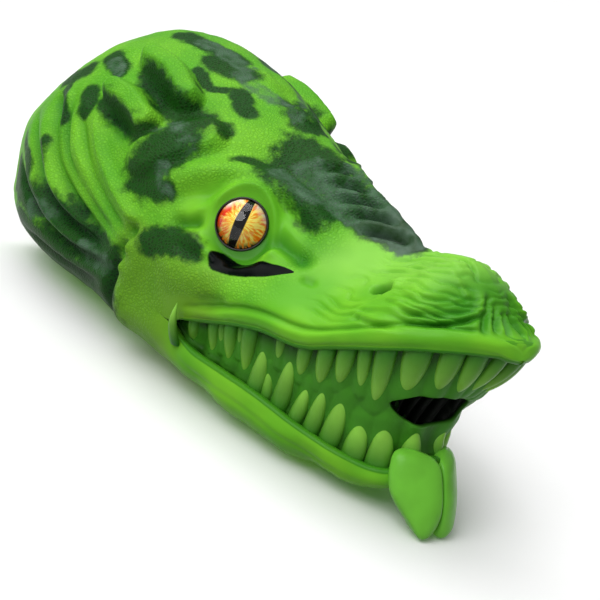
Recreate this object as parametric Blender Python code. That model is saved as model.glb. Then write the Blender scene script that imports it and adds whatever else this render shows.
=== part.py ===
"""A moving-mouth hand puppet: the hollow soft-rubber head of a crocodile-like monster, mouth ajar.

The hand goes in through the neck, the fingers lie in the snout and the thumb in the lower jaw.
Lengths below are millimetres: +X runs out of the snout, +Y to the creature's left, +Z up.
x is counted from the thickest ring of the neck, and place() moves the origin to the point on the
floor under the middle of the whole head. The head is symmetric about y = 0.
"""

import math

import bmesh
import bpy
from mathutils import Matrix, Vector

MM = 0.001

# Driving dimensions
NECK_RIM_X = -21.0
SNOUT_TIP_X = 165.0
JAW_TIP_X = 154.0
SEAM_X = 45.0  # where the neck sleeve meets the head and the throat
HINGE_X = 76.5  # the jaw turns about the corners of the mouth
HINGE_Z = 20.5
JAW_BACK_X = 79.0
WALL = 2.4  # thickness of the rubber
GAP = 0.4  # left between solids that touch on the real puppet
FRAME_X = (NECK_RIM_X + SNOUT_TIP_X) / 2

ARC_STEPS = 7  # divisions of a quarter of a skin's cross-section
SKIN_STEP = 6.5  # distance between a skin's cross-sections

EYE_CENTRE = (84.5, 29.5, 53.0)
EYE_NORMAL = (0.50, 0.80, 0.33)
EYE_RADIUS = 7.0
EYE_DOME_RISE = 4.0
EYE_SIDES = 24
IRIS_THICKNESS = 0.5
SEAT_WALL = 0.8
SEAT_DEPTH = 3.2

GUM_DEPTH = 3.4  # from the outside of the lip to the outside of the gum
GUM_THICKNESS = 2.2
UPPER_GUM_HEIGHT = 7.0
LOWER_GUM_HEIGHT = 5.0
GUM_START_X = 83.0
TOOTH_SIDES = 6
GUM_STEPS = 22
RAIL_STEPS = 90
MIDDLE_GAP = 0.3
TOOTH_DEPTH = 1.7
TOOTH_INSET = 0.5
LINING_DEPTH = 6.9
LINING_THICKNESS = 1.2
LINING_STEPS = 20
MOUTH_HOLE_CENTRE = (150.0, 0.0, 29.0)
MOUTH_HOLE_HALF_WIDTH = 12.0
MOUTH_HOLE_HALF_HEIGHT = 5.0

LOBE_OFFSET = 5.6
LOBE_CLEFT = 0.5
LOBE_TURN = math.radians(35)
LOBE_TOP = 13.2
LOBE_TOP_X = 152.0
LOBE_FOOT_X = 157.0
LOBE_STEPS = 6
LOBE_SIDES = 12

GREEN = (0.16, 0.50, 0.04)
DEEP_GREEN = (0.05, 0.26, 0.03)
TOOTH_GREEN = (0.20, 0.50, 0.07)
BLACK = (0.01, 0.01, 0.01)
IRIS = (0.90, 0.45, 0.05)
GLASS = (0.90, 0.90, 0.85)

# Outlines along the head: (x, value) at the places where the shape turns
TOP = ((-21, 66), (-14, 75), (-4, 84), (8, 88.5), (22, 89.5), (43, 86), (60, 80.5), (78, 75.5), (91, 72),
       (106, 68), (121, 65), (130, 67.5), (141, 70.5), (150, 69), (157, 64.5), (162, 59), (165, 55.5))
WIDE_Z = ((-21, 38), (-4, 40), (8, 40.5), (30, 40), (45, 39), (60, 37), (75, 36), (90, 37), (105, 39),
          (120, 41), (131, 44), (143, 50), (152, 54), (158, 56), (162, 56.5), (165, 55))
HALF_WIDTH = ((-21, 34), (-14, 38.5), (-4, 43), (8, 45), (30, 44.5), (45, 43.5), (60, 43), (75, 42),
              (90, 39.5), (105, 37), (120, 34), (131, 31), (143, 26.5), (152, 20.5), (158, 15),
              (162, 9.5), (165, 2))
NECK_BOTTOM = ((-21, 5), (-14, 2), (-6, -0.8), (13, -0.8), (25, 0.8), (45, 2))
UPPER_EDGE = ((45, 20.9), (75, 20.9), (79, 21.6), (85, 23.3), (93, 26.5), (104, 31), (111, 33),
              (122, 34.5), (131, 39), (143, 45), (152, 49.5), (159, 52.3), (165, 54.3))
UPPER_LIP = ((45, 41), (60, 41), (78, 38), (105, 35), (117, 33), (131, 30), (143, 26), (152, 20),
             (158, 14.4), (162, 9), (165, 1.6))
LOWER_EDGE = ((45, 20.1), (75, 20.1), (79, 18.6), (84, 16.8), (91, 16), (107, 16), (121, 14.5), (131, 13.2),
              (143, 12.6), (148, 13.5), (154, 19))
LOWER_LIP = ((45, 41), (60, 41), (77, 37.3), (84, 35.5), (91, 34), (99, 32.3), (107, 30.7), (114, 28.8),
             (121, 26.5), (131, 22.5), (143, 16.5), (149, 11.5), (152.5, 6.5), (154, 1.2))
JAW_BOTTOM = ((45, 2), (60, 1.8), (80, 1.8), (100, 1.8), (120, 1.2), (132, 1.4), (141, 3), (148, 7.5),
              (154, 13))
TOP_POWER = ((-21, 1.8), (30, 1.85), (60, 1.75), (72, 1.5), (85, 1.3), (105, 1.15), (120, 1.0),
             (130, 1.15), (141, 1.5), (152, 1.7), (165, 2))
LOW_POWER = ((-21, 2.3), (10, 2.5), (60, 2.9), (100, 3), (154, 2.8))

# Teeth of one side: (x of the root, length, half width along the gum)
UPPER_TEETH = ((90, 4.2, 1.5), (94.2, 6, 1.3), (97.2, 6, 1.1), (100.2, 8.5, 1.5), (103.7, 6.5, 1.1),
               (107.7, 11, 1.9), (118.3, 7.5, 1.6), (125.5, 9, 1.8), (130.2, 10, 2.0),
               (135.2, 10, 2.2), (139.4, 11.5, 1.7), (143.8, 14, 2.5), (150.6, 12.5, 3),
               (156.6, 11, 2.8), (160.4, 10.5, 2.4), (162.8, 10.5, 2.2))
LOWER_TEETH = ((84.5, 2.4, 1.1), (112, 10.5, 1.6), (115.6, 8.5, 1.4), (120.4, 13, 2.1), (125.3, 10, 1.8),
               (130, 11.5, 2.1), (135.2, 12, 2.2), (140.6, 10, 2.1), (145.8, 11, 2.2),
               (150.5, 7.5, 1.8))


def place(x, y, z):
    """A point of the head in the part's own frame, in metres."""
    return Vector(((x - FRAME_X) * MM, y * MM, z * MM))


def curve(points):
    """A smooth function through the points that never overshoots between them."""
    xs = [p[0] for p in points]
    ys = [p[1] for p in points]
    steps = [(b - a) / (v - u) for a, b, u, v in zip(ys, ys[1:], xs, xs[1:])]
    slopes = [steps[0]]
    for before, after in zip(steps, steps[1:]):
        slopes.append(0.0 if before * after <= 0 else 2 * before * after / (before + after))
    slopes.append(steps[-1])

    def value(x):
        x = min(max(x, xs[0]), xs[-1])
        i = max(k for k in range(len(xs) - 1) if xs[k] <= x)
        span = xs[i + 1] - xs[i]
        t = (x - xs[i]) / span
        return (ys[i] * (1 + 2 * t) * (1 - t) ** 2 + slopes[i] * span * t * (1 - t) ** 2
                + ys[i + 1] * t * t * (3 - 2 * t) + slopes[i + 1] * span * t * t * (t - 1))

    return value


top, neck_bottom, jaw_bottom = curve(TOP), curve(NECK_BOTTOM), curve(JAW_BOTTOM)
half_width, wide_z = curve(HALF_WIDTH), curve(WIDE_Z)
upper_edge, upper_lip = curve(UPPER_EDGE), curve(UPPER_LIP)
lower_edge, lower_lip = curve(LOWER_EDGE), curve(LOWER_LIP)
top_power, low_power = curve(TOP_POWER), curve(LOW_POWER)


def quarter(width, height, power, steps=ARC_STEPS):
    """Points of a superellipse's quarter, from its side (width, 0) to its end (0, height)."""
    points = []
    for k in range(steps + 1):
        angle = math.pi / 2 * k / steps
        points.append((width * math.cos(angle) ** (2 / power), height * math.sin(angle) ** (2 / power)))
    return points


def mirrored(half):
    """A whole cross-section from its +Y half, which ends on y = 0."""
    return half + [(-y, z) for y, z in reversed(half[:-1])]


def neck_ring(x, inset):
    """The neck's closed cross-section: an egg shape that is flat where it rests on the floor."""
    middle = wide_z(x)
    width = half_width(x) - inset
    over = quarter(width, top(x) - inset - middle, top_power(x))
    under = quarter(width, neck_bottom(x) + inset - middle, low_power(x))
    upper = [(y, middle + z) for y, z in over]
    lower = [(y, max(middle + z, inset)) for y, z in under]
    return mirrored(upper) + mirrored(lower)[::-1][1:-1]


def head_arch(x, inset):
    """The cranium's or snout's cross-section, open below: from one lip over the top to the other."""
    edge = upper_edge(x)
    middle = max(wide_z(x), edge + 0.4)
    width = half_width(x) - inset
    lip = upper_lip(x) - inset
    height = max(top(x) - inset - middle, 0.4)
    cheek = [(lip, edge), ((lip + width) / 2 + 0.6, (edge + middle) / 2)]
    return mirrored(cheek + [(y, middle + z) for y, z in quarter(width, height, top_power(x))])


def jaw_trough(x, inset):
    """The jaw's or throat's cross-section, open above: from one lip round below to the other."""
    edge = lower_edge(x)
    depth = edge - jaw_bottom(x) - inset
    width = max(lower_lip(x) - inset, 0.4)
    return mirrored([(y, edge - z) for y, z in quarter(width, depth, low_power(x))])


def stations(start, stop, step=SKIN_STEP, blunt=False):
    """Places of the cross-sections, closer together towards a blunt end."""
    count = max(2, round((stop - start) / step))
    if not blunt:
        return [start + (stop - start) * k / count for k in range(count + 1)]
    count += 3
    return [start + (stop - start) * (1 - (1 - k / count) ** 1.5) for k in range(count + 1)]


def mesh_object(name, points, faces, colour, roughness=0.45, metallic=0.0):
    """One closed body as an object with its own material, shaded smooth."""
    mesh = bpy.data.meshes.new(name)
    mesh.from_pydata(points, [], faces)
    mesh.validate()
    mesh.shade_smooth()
    mesh.set_sharp_from_angle(angle=math.radians(40))
    thing = bpy.data.objects.new(name, mesh)
    bpy.context.scene.collection.objects.link(thing)
    thing.data.materials.append(material(name, colour, roughness, metallic))
    return thing


def material(name, colour, roughness, metallic):
    made = bpy.data.materials.new(name)
    made.use_nodes = True
    shader = made.node_tree.nodes["Principled BSDF"]
    shader.inputs["Base Color"].default_value = (*colour, 1.0)
    shader.inputs["Roughness"].default_value = roughness
    shader.inputs["Metallic"].default_value = metallic
    return made


def loft(name, rings, colour, ends="flat", **finish):
    """A solid through closed rings of points.

    Its ends are flat faces, or strips across rings that run out and back, or joined to each other.
    """
    count = len(rings[0])
    points = [p for ring in rings for p in ring]
    faces = []
    last = len(rings) if ends == "joined" else len(rings) - 1
    for i in range(last):
        j = (i + 1) % len(rings)
        for k in range(count):
            m = (k + 1) % count
            faces.append((i * count + k, i * count + m, j * count + m, j * count + k))
    far = last * count
    if ends == "flat":
        faces.append(tuple(reversed(range(count))))
        faces.append(tuple(range(far, far + count)))
    if ends == "strips":
        for k in range(count // 2 - 1):
            strip = (k, k + 1, count - 2 - k, count - 1 - k)
            faces.append(tuple(reversed(strip)))
            faces.append(tuple(far + m for m in strip))
    return mesh_object(name, points, faces, colour, **finish)


def skin(name, section, places, turn, colour):
    """A rubber wall: each ring runs along the outer cross-section and back along the inner one.

    turn(x) goes from 0 to 1 where the wall bends round to face forwards, and its inner side moves back there.
    """
    rings = []
    for x in places:
        outside = [place(x, y, z) for y, z in section(x, 0.0)]
        inset = WALL * math.sqrt(1 - turn(x) ** 2)
        inside = [place(x - WALL * turn(x), y, z) for y, z in section(x, inset)]
        rings.append(outside + inside[::-1])
    return turned_out(loft(name, rings, colour, ends="strips"))


def turned_out(thing):
    """The same object with its faces pointing out, whichever way its rings ran."""
    shape = bmesh.new()
    shape.from_mesh(thing.data)
    bmesh.ops.recalc_face_normals(shape, faces=shape.faces)
    if shape.calc_volume(signed=True) < 0:
        bmesh.ops.reverse_faces(shape, faces=shape.faces)
    shape.to_mesh(thing.data)
    shape.free()
    return thing


def neck_sleeve(colour):
    """The collar that the hand goes in through: a tube, each wall joined at its two rims."""
    outer_x = stations(NECK_RIM_X, SEAM_X - GAP)
    outside = [[place(x, y, z) for y, z in neck_ring(x, 0.0)] for x in outer_x]
    inside = [[place(x, y, z) for y, z in neck_ring(x, WALL)] for x in outer_x]
    return turned_out(loft("neck_sleeve", outside + inside[::-1], colour, ends="joined"))


def snout_turn(x):
    return min(max((x - 136) / (SNOUT_TIP_X - 136), 0), 0.999)


def jaw_turn(x):
    return min(max((x - 124) / (JAW_TIP_X - 124), 0), 0.999)


def head_skin(colour):
    return skin("head_skin", head_arch, stations(SEAM_X, SNOUT_TIP_X, blunt=True), snout_turn, colour)


def jaw_skin(colour):
    return skin("jaw_skin", jaw_trough, stations(JAW_BACK_X, JAW_TIP_X, blunt=True), jaw_turn, colour)


def throat_skin(colour):
    """The fold of skin under the mouth's corners that stretches when the jaw moves."""
    return skin("throat_skin", jaw_trough, stations(SEAM_X, JAW_BACK_X - GAP), jaw_turn, colour)


def chin_lobe(side, name, jaw_form, colour):
    """One half of the cleft chin, a tongue-shaped pad that the jaw rests on."""
    rings = []
    for step in range(LOBE_STEPS + 1):
        t = step / LOBE_STEPS
        height = LOBE_TOP * (1 - t)
        swell = math.sin(math.pi * t)
        centre = LOBE_TOP_X + (LOBE_FOOT_X - LOBE_TOP_X) * t
        deep = 2.2 + 1.6 * t + 1.6 * swell
        wide = 5.0 + 1.0 * t + 2.0 * swell
        ring = []
        for k in range(LOBE_SIDES):
            angle = 2 * math.pi * k / LOBE_SIDES
            out, across = deep * math.cos(angle), wide * math.sin(angle)
            x = centre + out * math.cos(LOBE_TURN) - across * math.sin(LOBE_TURN)
            y = LOBE_OFFSET + out * math.sin(LOBE_TURN) + across * math.cos(LOBE_TURN)
            ring.append(place(x, side * max(y, LOBE_CLEFT), height))
        rings.append(ring)
    lobe = turned_out(loft(name, rings, colour))
    combine(lobe, jaw_form, "DIFFERENCE")
    return lobe


def jaw_solid(colour):
    """The jaw's outside grown by the gap: a guide that hollows the backs of the chin's lobes."""
    rings = []
    for x in stations(JAW_BACK_X, JAW_TIP_X, blunt=True):
        rings.append([place(x + GAP * jaw_turn(x), y, z) for y, z in jaw_trough(x, -GAP)])
    return turned_out(loft("jaw_form_cutter", rings, colour))


def lip_rail(lip, edge, start, stop, depth):
    """The line at a depth inside the +Y lip, from the mouth's corner to its middle.

    Each place on it is (point, inward direction, x on the lip itself).
    """
    fine = [start + (stop - start) * (1 - (1 - k / RAIL_STEPS) ** 2) for k in range(RAIL_STEPS + 1)]
    line = []
    for a, b in zip(fine, fine[1:]):
        along = Vector((b - a, lip(b) - lip(a), 0)).normalized()
        inward = Vector((along.y, -along.x, 0))
        x = (a + b) / 2
        point = Vector((x, lip(x), edge(x))) + inward * depth
        if point.y > MIDDLE_GAP:
            line.append((point, inward, x))
    last = line[-1][0]
    return line + [(Vector((last.x, MIDDLE_GAP, last.z)), Vector((-1, 0, 0)), stop)]


def spread(line, count):
    """The same line at evenly spaced places, count of them."""
    lengths = [0.0]
    for before, after in zip(line, line[1:]):
        lengths.append(lengths[-1] + (after[0] - before[0]).length)
    places = []
    for k in range(count):
        goal = lengths[-1] * k / (count - 1)
        i = min(max(j for j in range(len(lengths)) if lengths[j] <= goal + 1e-9), len(line) - 2)
        t = (goal - lengths[i]) / (lengths[i + 1] - lengths[i])
        (p, u, start), (q, v, stop) = line[i], line[i + 1]
        places.append((p.lerp(q, t), u.lerp(v, t).normalized(), start + (stop - start) * t))
    return places


def upper_rail(depth):
    return lip_rail(upper_lip, upper_edge, GUM_START_X, SNOUT_TIP_X, depth)


def lower_rail(depth):
    return lip_rail(lower_lip, lower_edge, GUM_START_X, JAW_TIP_X, depth)


def gum(name, places, side, low, high, colour):
    """The strip of gum behind one lip, between two heights that may change along it."""
    rings = []
    for point, inward, _ in places:
        back = point + inward * GUM_THICKNESS
        corners = ((point, low(point)), (point, high(point)), (back, high(point)), (back, low(point)))
        rings.append([place(p.x, side * p.y, z) for p, z in corners])
    return turned_out(loft(name, rings, colour))


def tooth(root, along, point_way, length, half_width, side, colour):
    """A curved cone: its tip leans along the gum, and its foot is oval."""
    across = along.cross(point_way).normalized()
    rings = []
    for t, size, bend in ((0, 1, 0), (0.5, 0.8, 0.1), (0.85, 0.42, 0.25), (1, 0.12, 0.33)):
        centre = root + point_way * (length * t) + along * (length * bend)
        ring = []
        for k in range(TOOTH_SIDES):
            angle = 2 * math.pi * k / TOOTH_SIDES
            p = centre + along * (half_width * size * math.cos(angle))
            p += across * (min(half_width, TOOTH_DEPTH) * size * math.sin(angle))
            ring.append(place(p.x, side * p.y, p.z))
        rings.append(ring)
    return turned_out(loft("tooth", rings, colour))


def joined(things):
    """The first object with the others' meshes added to it as separate bodies."""
    base = things[0]
    shape = bmesh.new()
    for thing in things:
        shape.from_mesh(thing.data)
    shape.to_mesh(base.data)
    shape.free()
    for thing in things[1:]:
        bpy.data.objects.remove(thing)
    return base


def combine(thing, other, operation):
    """A Boolean of another object on this one, which keeps the other as a hidden guide."""
    other.hide_render = True
    other.display_type = "WIRE"
    cut = thing.modifiers.new(operation.lower(), "BOOLEAN")
    cut.operation = operation
    cut.solver = "EXACT"
    cut.use_self = operation == "UNION"
    cut.object = other


def hang_on_hinge(thing):
    """Puts a jaw piece's origin on the jaw's axis, and leaves the piece where it is."""
    hinge = place(HINGE_X, 0, HINGE_Z)
    thing.data.transform(Matrix.Translation(-hinge))
    thing.location = hinge


def tooth_row(name, side, teeth, own, facing, lift, lean, low, high, colour):
    """A gum strip with its teeth: own and facing are the rails of this lip and of the other one."""
    strip = gum(name, spread(own(GUM_DEPTH), GUM_STEPS), side, low, high, colour)
    roots, targets = (spread(rail(GUM_DEPTH + TOOTH_INSET), RAIL_STEPS) for rail in (own, facing))
    cones = []
    for x, length, half_width in teeth:
        (point, inward, _), target = min(zip(roots, targets), key=lambda pair: abs(pair[0][2] - x))
        along = Vector((-inward.y, inward.x, 0))
        way = target[0] - point
        way = (way - along * way.dot(along)).normalized()
        root = Vector((point.x, point.y, point.z + lift))
        cones.append(tooth(root, along * lean, way, length, half_width, side, colour))
    guide = joined(cones)
    guide.name = name + "_guide"
    combine(strip, guide, "UNION")
    return strip


def upper_gum_top(point):
    """Gums stop short of the roof of the snout, which comes down at the front."""
    room = max(top(point.x) - WALL - upper_edge(point.x), 0.4)
    return point.z + min(UPPER_GUM_HEIGHT - 2.5, 0.35 * room)


def mouth_lining(colour):
    """The thin wall of the mouth behind both rows of teeth, with the hole at its front."""
    above = spread(upper_rail(LINING_DEPTH), LINING_STEPS)
    below = spread(lower_rail(LINING_DEPTH), LINING_STEPS)
    half = []
    for (p, u, _), (q, v, _) in zip(above, below):
        front = [(p, upper_gum_top(p) - 0.5), (p, p.z - 3), (q, q.z + 2.5), (q, q.z - 3.5)]
        back = [(p + u * LINING_THICKNESS, front[0][1]), (p + u * LINING_THICKNESS, p.z - 3),
                (q + v * LINING_THICKNESS, q.z + 2.5), (q + v * LINING_THICKNESS, front[3][1])]
        half.append([(a.x, a.y, z) for a, z in front + back[::-1]])
    rings = [[place(x, y, z) for x, y, z in ring] for ring in half]
    rings += [[place(x, -y, z) for x, y, z in ring] for ring in reversed(half)]
    lining = turned_out(loft("mouth_lining", rings, colour))
    hole = disc("mouth_hole_cutter", MOUTH_HOLE_CENTRE, (1, 0, 0), 1.0, -12, 12, colour, sides=20)
    centre = place(*MOUTH_HOLE_CENTRE)
    ellipse = Matrix.Diagonal((1, MOUTH_HOLE_HALF_WIDTH, MOUTH_HOLE_HALF_HEIGHT, 1))
    hole.data.transform(Matrix.Translation(centre) @ ellipse @ Matrix.Translation(-centre))
    combine(lining, hole, "DIFFERENCE")
    return lining


def disc(name, centre, axis, radius, start, stop, colour, sides=24, profile=None, **finish):
    """A turned solid about an axis through a point, between two distances along it."""
    profile = profile or ((radius, start), (radius, stop))
    turn = Vector(axis).to_track_quat("Z", "Y").to_matrix().to_4x4()
    rings = []
    for r, along in profile:
        ring = []
        for k in range(sides):
            angle = 2 * math.pi * k / sides
            offset = turn @ Vector((r * math.cos(angle), r * math.sin(angle), along))
            ring.append(place(*(Vector(centre) + offset)))
        rings.append(ring)
    return turned_out(loft(name, rings, colour, **finish))


def eye(side, name, skin_object):
    """A glass cabochon over a printed disc, glued into a black seat that fills a hole in the skin."""
    centre = (EYE_CENTRE[0], side * EYE_CENTRE[1], EYE_CENTRE[2])
    axis = (EYE_NORMAL[0], side * EYE_NORMAL[1], EYE_NORMAL[2])
    inner = EYE_RADIUS + 0.3
    outer = inner + SEAT_WALL
    floor = -IRIS_THICKNESS - 0.3
    cup = ((outer, floor - SEAT_WALL), (outer, 1.0), (inner, 1.0), (inner, floor))
    disc("eye_seat_" + name, centre, axis, 0, 0, 0, BLACK, profile=cup, roughness=0.35)
    disc("eye_iris_" + name, centre, axis, EYE_RADIUS, -IRIS_THICKNESS, 0, IRIS, roughness=0.4)
    dome = [(EYE_RADIUS, 0.3), (EYE_RADIUS, 0.9)]
    for k in range(1, 6):
        angle = math.pi / 2 * k / 6
        dome.append((EYE_RADIUS * math.cos(angle), 0.9 + EYE_DOME_RISE * math.sin(angle)))
    disc("eye_dome_" + name, centre, axis, 0, 0, 0, GLASS, profile=dome, roughness=0.03)
    socket = disc("eye_socket_cutter_" + name, centre, axis, outer + GAP, -8, 8, BLACK)
    combine(skin_object, socket, "DIFFERENCE")


def build():
    for thing in list(bpy.data.objects):
        bpy.data.objects.remove(thing, do_unlink=True)
    neck_sleeve(GREEN)
    head = head_skin(GREEN)
    throat_skin(GREEN)
    mouth_lining(DEEP_GREEN)
    jaw_form = jaw_solid(GREEN)
    jaw = [jaw_skin(GREEN)]
    for side, name in ((1, "left"), (-1, "right")):
        eye(side, name, head)
        jaw.append(chin_lobe(side, "chin_lobe_" + name, jaw_form, GREEN))
        tooth_row("upper_teeth_" + name, side, UPPER_TEETH, upper_rail, lower_rail, -1.0, -1.0,
                  lambda p: p.z - 2.5, upper_gum_top, TOOTH_GREEN)
        jaw.append(tooth_row("lower_teeth_" + name, side, LOWER_TEETH, lower_rail, upper_rail, 1.2, 1.0,
                             lambda p: p.z - LOWER_GUM_HEIGHT + 2, lambda p: p.z + 2, TOOTH_GREEN))
    for piece in jaw:
        hang_on_hinge(piece)


build()
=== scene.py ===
"""The looks of the moving-mouth puppet: a soft-rubber monster head with teeth, folds and glass eyes.

Lengths are millimetres in the head's own terms: x runs from the neck out of the snout, y is to the
creature's left and z is up. place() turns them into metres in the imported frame. What is sculpted or
painted on one side is mirrored on the other, so its points are all given at positive y.
"""

import math

import bmesh
import bpy
import numpy as np
from mathutils import Matrix, Vector


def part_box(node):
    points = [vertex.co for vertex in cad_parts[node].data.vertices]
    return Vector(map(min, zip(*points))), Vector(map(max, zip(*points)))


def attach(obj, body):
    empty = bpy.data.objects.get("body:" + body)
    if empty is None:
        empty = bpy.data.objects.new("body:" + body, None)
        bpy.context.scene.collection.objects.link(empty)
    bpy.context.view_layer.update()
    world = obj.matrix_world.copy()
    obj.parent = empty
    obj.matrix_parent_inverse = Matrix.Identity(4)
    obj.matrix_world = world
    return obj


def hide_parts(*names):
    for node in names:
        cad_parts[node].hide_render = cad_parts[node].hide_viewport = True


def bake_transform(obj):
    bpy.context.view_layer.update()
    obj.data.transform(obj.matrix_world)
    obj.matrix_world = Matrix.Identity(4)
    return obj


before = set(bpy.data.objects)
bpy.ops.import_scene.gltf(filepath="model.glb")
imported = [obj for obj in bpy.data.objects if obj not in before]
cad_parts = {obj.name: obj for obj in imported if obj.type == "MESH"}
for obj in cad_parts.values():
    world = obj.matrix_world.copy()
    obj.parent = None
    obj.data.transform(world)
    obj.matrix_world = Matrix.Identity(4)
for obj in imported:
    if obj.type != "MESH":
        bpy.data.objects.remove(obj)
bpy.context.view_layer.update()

MM = 0.001
NECK_RIM_X = -21.0
SNOUT_TIP_X = 165.0
JAW_TIP_X = 154.0
CORNER = np.array((76.5, 38.0, 20.5))  # the corner of the mouth, where the jaw's hinge is
WALL = 2.4
FRAME_X = NECK_RIM_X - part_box("neck_sleeve")[0].x / MM

# Fineness of the skins
STATION_STEP = 0.5
SOFT = 2.6  # how far the outlines below are smoothed along x
HALF_COLUMNS = 153  # from a lip to the middle of the back or of the chin
INNER_RATIO = 8
LIP_COLUMNS = 14
LIP_DEPTH = 5.0
LIP_ROUND = 1.3
LIP_RISE = 1.6
TIP_TURN = 29  # over this length towards a skin's tip, its inner side turns in
SMOOTHINGS = 60  # of a cross-section
AXIS_Z = 34  # the height of the line along the head's middle
AXIS_END_X = 140
LOWEST_Z = 0.3  # nothing sculpted on a skin goes below this

# Outlines along the head: (x, value)
TOP = ((-21, 66), (-14, 75), (-4, 84), (8, 88.5), (22, 89.5), (43, 86), (60, 80.5), (78, 75.5), (91, 73),
       (106, 69.5), (121, 66), (130, 68), (141, 71), (150, 69.5), (157, 65), (162, 59.5), (165, 54.8))
WIDE_Z = ((-21, 38), (-4, 40), (8, 40.5), (30, 40), (45, 39), (60, 37), (75, 36), (90, 37), (105, 39),
          (120, 41), (131, 44), (143, 50), (152, 54), (158, 56), (162, 56.5), (165, 54.6))
HALF_WIDTH = ((-21, 34), (-14, 38.5), (-4, 43), (8, 45), (30, 44.5), (45, 43.5), (60, 43), (75, 42),
              (90, 39.5), (105, 37), (120, 34), (131, 31), (143, 26.5), (152, 20.5), (158, 15),
              (162, 9.5), (164.2, 4.5), (165, 0.5))
TOP_POWER = ((-21, 1.8), (30, 1.85), (60, 1.75), (72, 1.5), (85, 1.3), (105, 1.15), (120, 1.05),
             (130, 1.2), (141, 1.5), (152, 1.7), (165, 2))
UPPER_EDGE = ((-21, 20.5), (74, 20.5), (79, 21.6), (85, 23.3), (93, 26.5), (104, 31), (111, 33),
              (122, 34.5), (131, 39), (143, 45), (152, 49.5), (159, 52.3), (165, 54.3))
UPPER_LIP = ((-21, 31.5), (-14, 36), (-4, 40), (8, 42), (30, 41.6), (45, 41), (60, 40.6), (78, 38), (105, 35),
             (117, 33), (131, 30), (143, 26), (152, 20), (158, 14.4), (162, 9), (164.2, 4.2), (165, 0.4))
LOWER_EDGE = ((-21, 20.5), (74, 20.5), (79, 18.6), (84, 16.8), (91, 16), (107, 16), (121, 14.5),
              (131, 13.2), (143, 12.6), (148, 13.5), (154, 19))
LOWER_LIP = ((-21, 31.5), (-14, 36), (-4, 40), (8, 42), (30, 41.6), (45, 41), (60, 40.6), (77, 37.6),
             (84, 35.5), (91, 34), (99, 32.3), (107, 30.7), (114, 28.8), (121, 26.5), (131, 22.5),
             (143, 16.5), (149, 11.5), (152.5, 6.2), (153.6, 3), (154, 0.5))
BOTTOM = ((-21, 5), (-14, 2.2), (-4, 0.6), (8, 0.4), (25, 1.2), (45, 2), (60, 1.8), (80, 1.8), (100, 1.8),
          (120, 1.2), (132, 1.4), (141, 3), (148, 7.5), (152, 12), (154, 17.5))
LOW_POWER = ((-21, 1.9), (30, 1.95), (60, 2.4), (76, 2.7), (154, 2.8))


def place(points):
    """Points in millimetres of the head's own terms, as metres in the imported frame."""
    return (np.asarray(points, float) - (FRAME_X, 0, 0)) * MM


def smooth(t):
    """0 below 0, 1 above 1, and an even turn between."""
    t = np.clip(t, 0, 1)
    return t * t * (3 - 2 * t)


def curve(points):
    """A function through the points that never overshoots, smoothed along x except towards its tip."""
    xs, ys = np.array(points, float).T
    steps = np.diff(ys) / np.diff(xs)
    turning = steps[:-1] * steps[1:] <= 0
    inner = np.where(turning, 0, 2 * steps[:-1] * steps[1:] / np.where(turning, 1, steps[:-1] + steps[1:]))
    slopes = np.concatenate(([steps[0]], inner, [steps[-1]]))

    def sharp(x):
        x = np.clip(x, xs[0], xs[-1])
        i = np.clip(np.searchsorted(xs, x, side="right") - 1, 0, len(xs) - 2)
        span = xs[i + 1] - xs[i]
        t = (x - xs[i]) / span
        return (ys[i] * (1 + 2 * t) * (1 - t) ** 2 + slopes[i] * span * t * (1 - t) ** 2
                + ys[i + 1] * t * t * (3 - 2 * t) + slopes[i + 1] * span * t * t * (t - 1))

    def value(x):
        x = np.asarray(x, float)
        reach = SOFT * np.clip((xs[-1] - 4 - x) / 18, 0, 1)
        taps = np.linspace(-2, 2, 9)
        weights = np.exp(-taps ** 2 / 2)
        return sum(w * sharp(x + k * reach) for k, w in zip(taps, weights)) / weights.sum()

    return value


top, wide_z, half_width, top_power = curve(TOP), curve(WIDE_Z), curve(HALF_WIDTH), curve(TOP_POWER)
bottom, low_power = curve(BOTTOM), curve(LOW_POWER)
raw_edges = [curve(points) for points in (UPPER_EDGE, UPPER_LIP, LOWER_EDGE, LOWER_LIP)]


def lips(x):
    """(upper height, upper half width, lower height, lower half width): one line behind the corner."""
    upper_z, upper_y, lower_z, lower_y = (f(x) for f in raw_edges)
    apart = smooth((x - CORNER[0]) / 7)
    middle_z, middle_y = (upper_z + lower_z) / 2, (upper_y + lower_y) / 2
    return (middle_z + (upper_z - middle_z) * apart, middle_y + (upper_y - middle_y) * apart,
            middle_z + (lower_z - middle_z) * apart, middle_y + (lower_y - middle_y) * apart)


def evenly(lines, count):
    """Each line of points, resampled at even distances."""
    out = np.empty((len(lines), count, lines.shape[2]))
    for i, line in enumerate(lines):
        along = np.concatenate(([0], np.cumsum(np.linalg.norm(np.diff(line, axis=0), axis=1))))
        goal = np.linspace(0, along[-1], count)
        for k in range(lines.shape[2]):
            out[i, :, k] = np.interp(goal, along, line[:, k])
    return out


def superellipse(width, height, power, steps=60):
    """Quarters of superellipses, one a row, from (width, 0) to (0, height)."""
    angle = np.linspace(0, math.pi / 2, steps)[None, :]
    across = width[:, None] * np.abs(np.cos(angle)) ** (2 / power[:, None])
    up = height[:, None] * np.abs(np.sin(angle)) ** (2 / power[:, None])
    return np.stack((across, up), axis=2)


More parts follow.
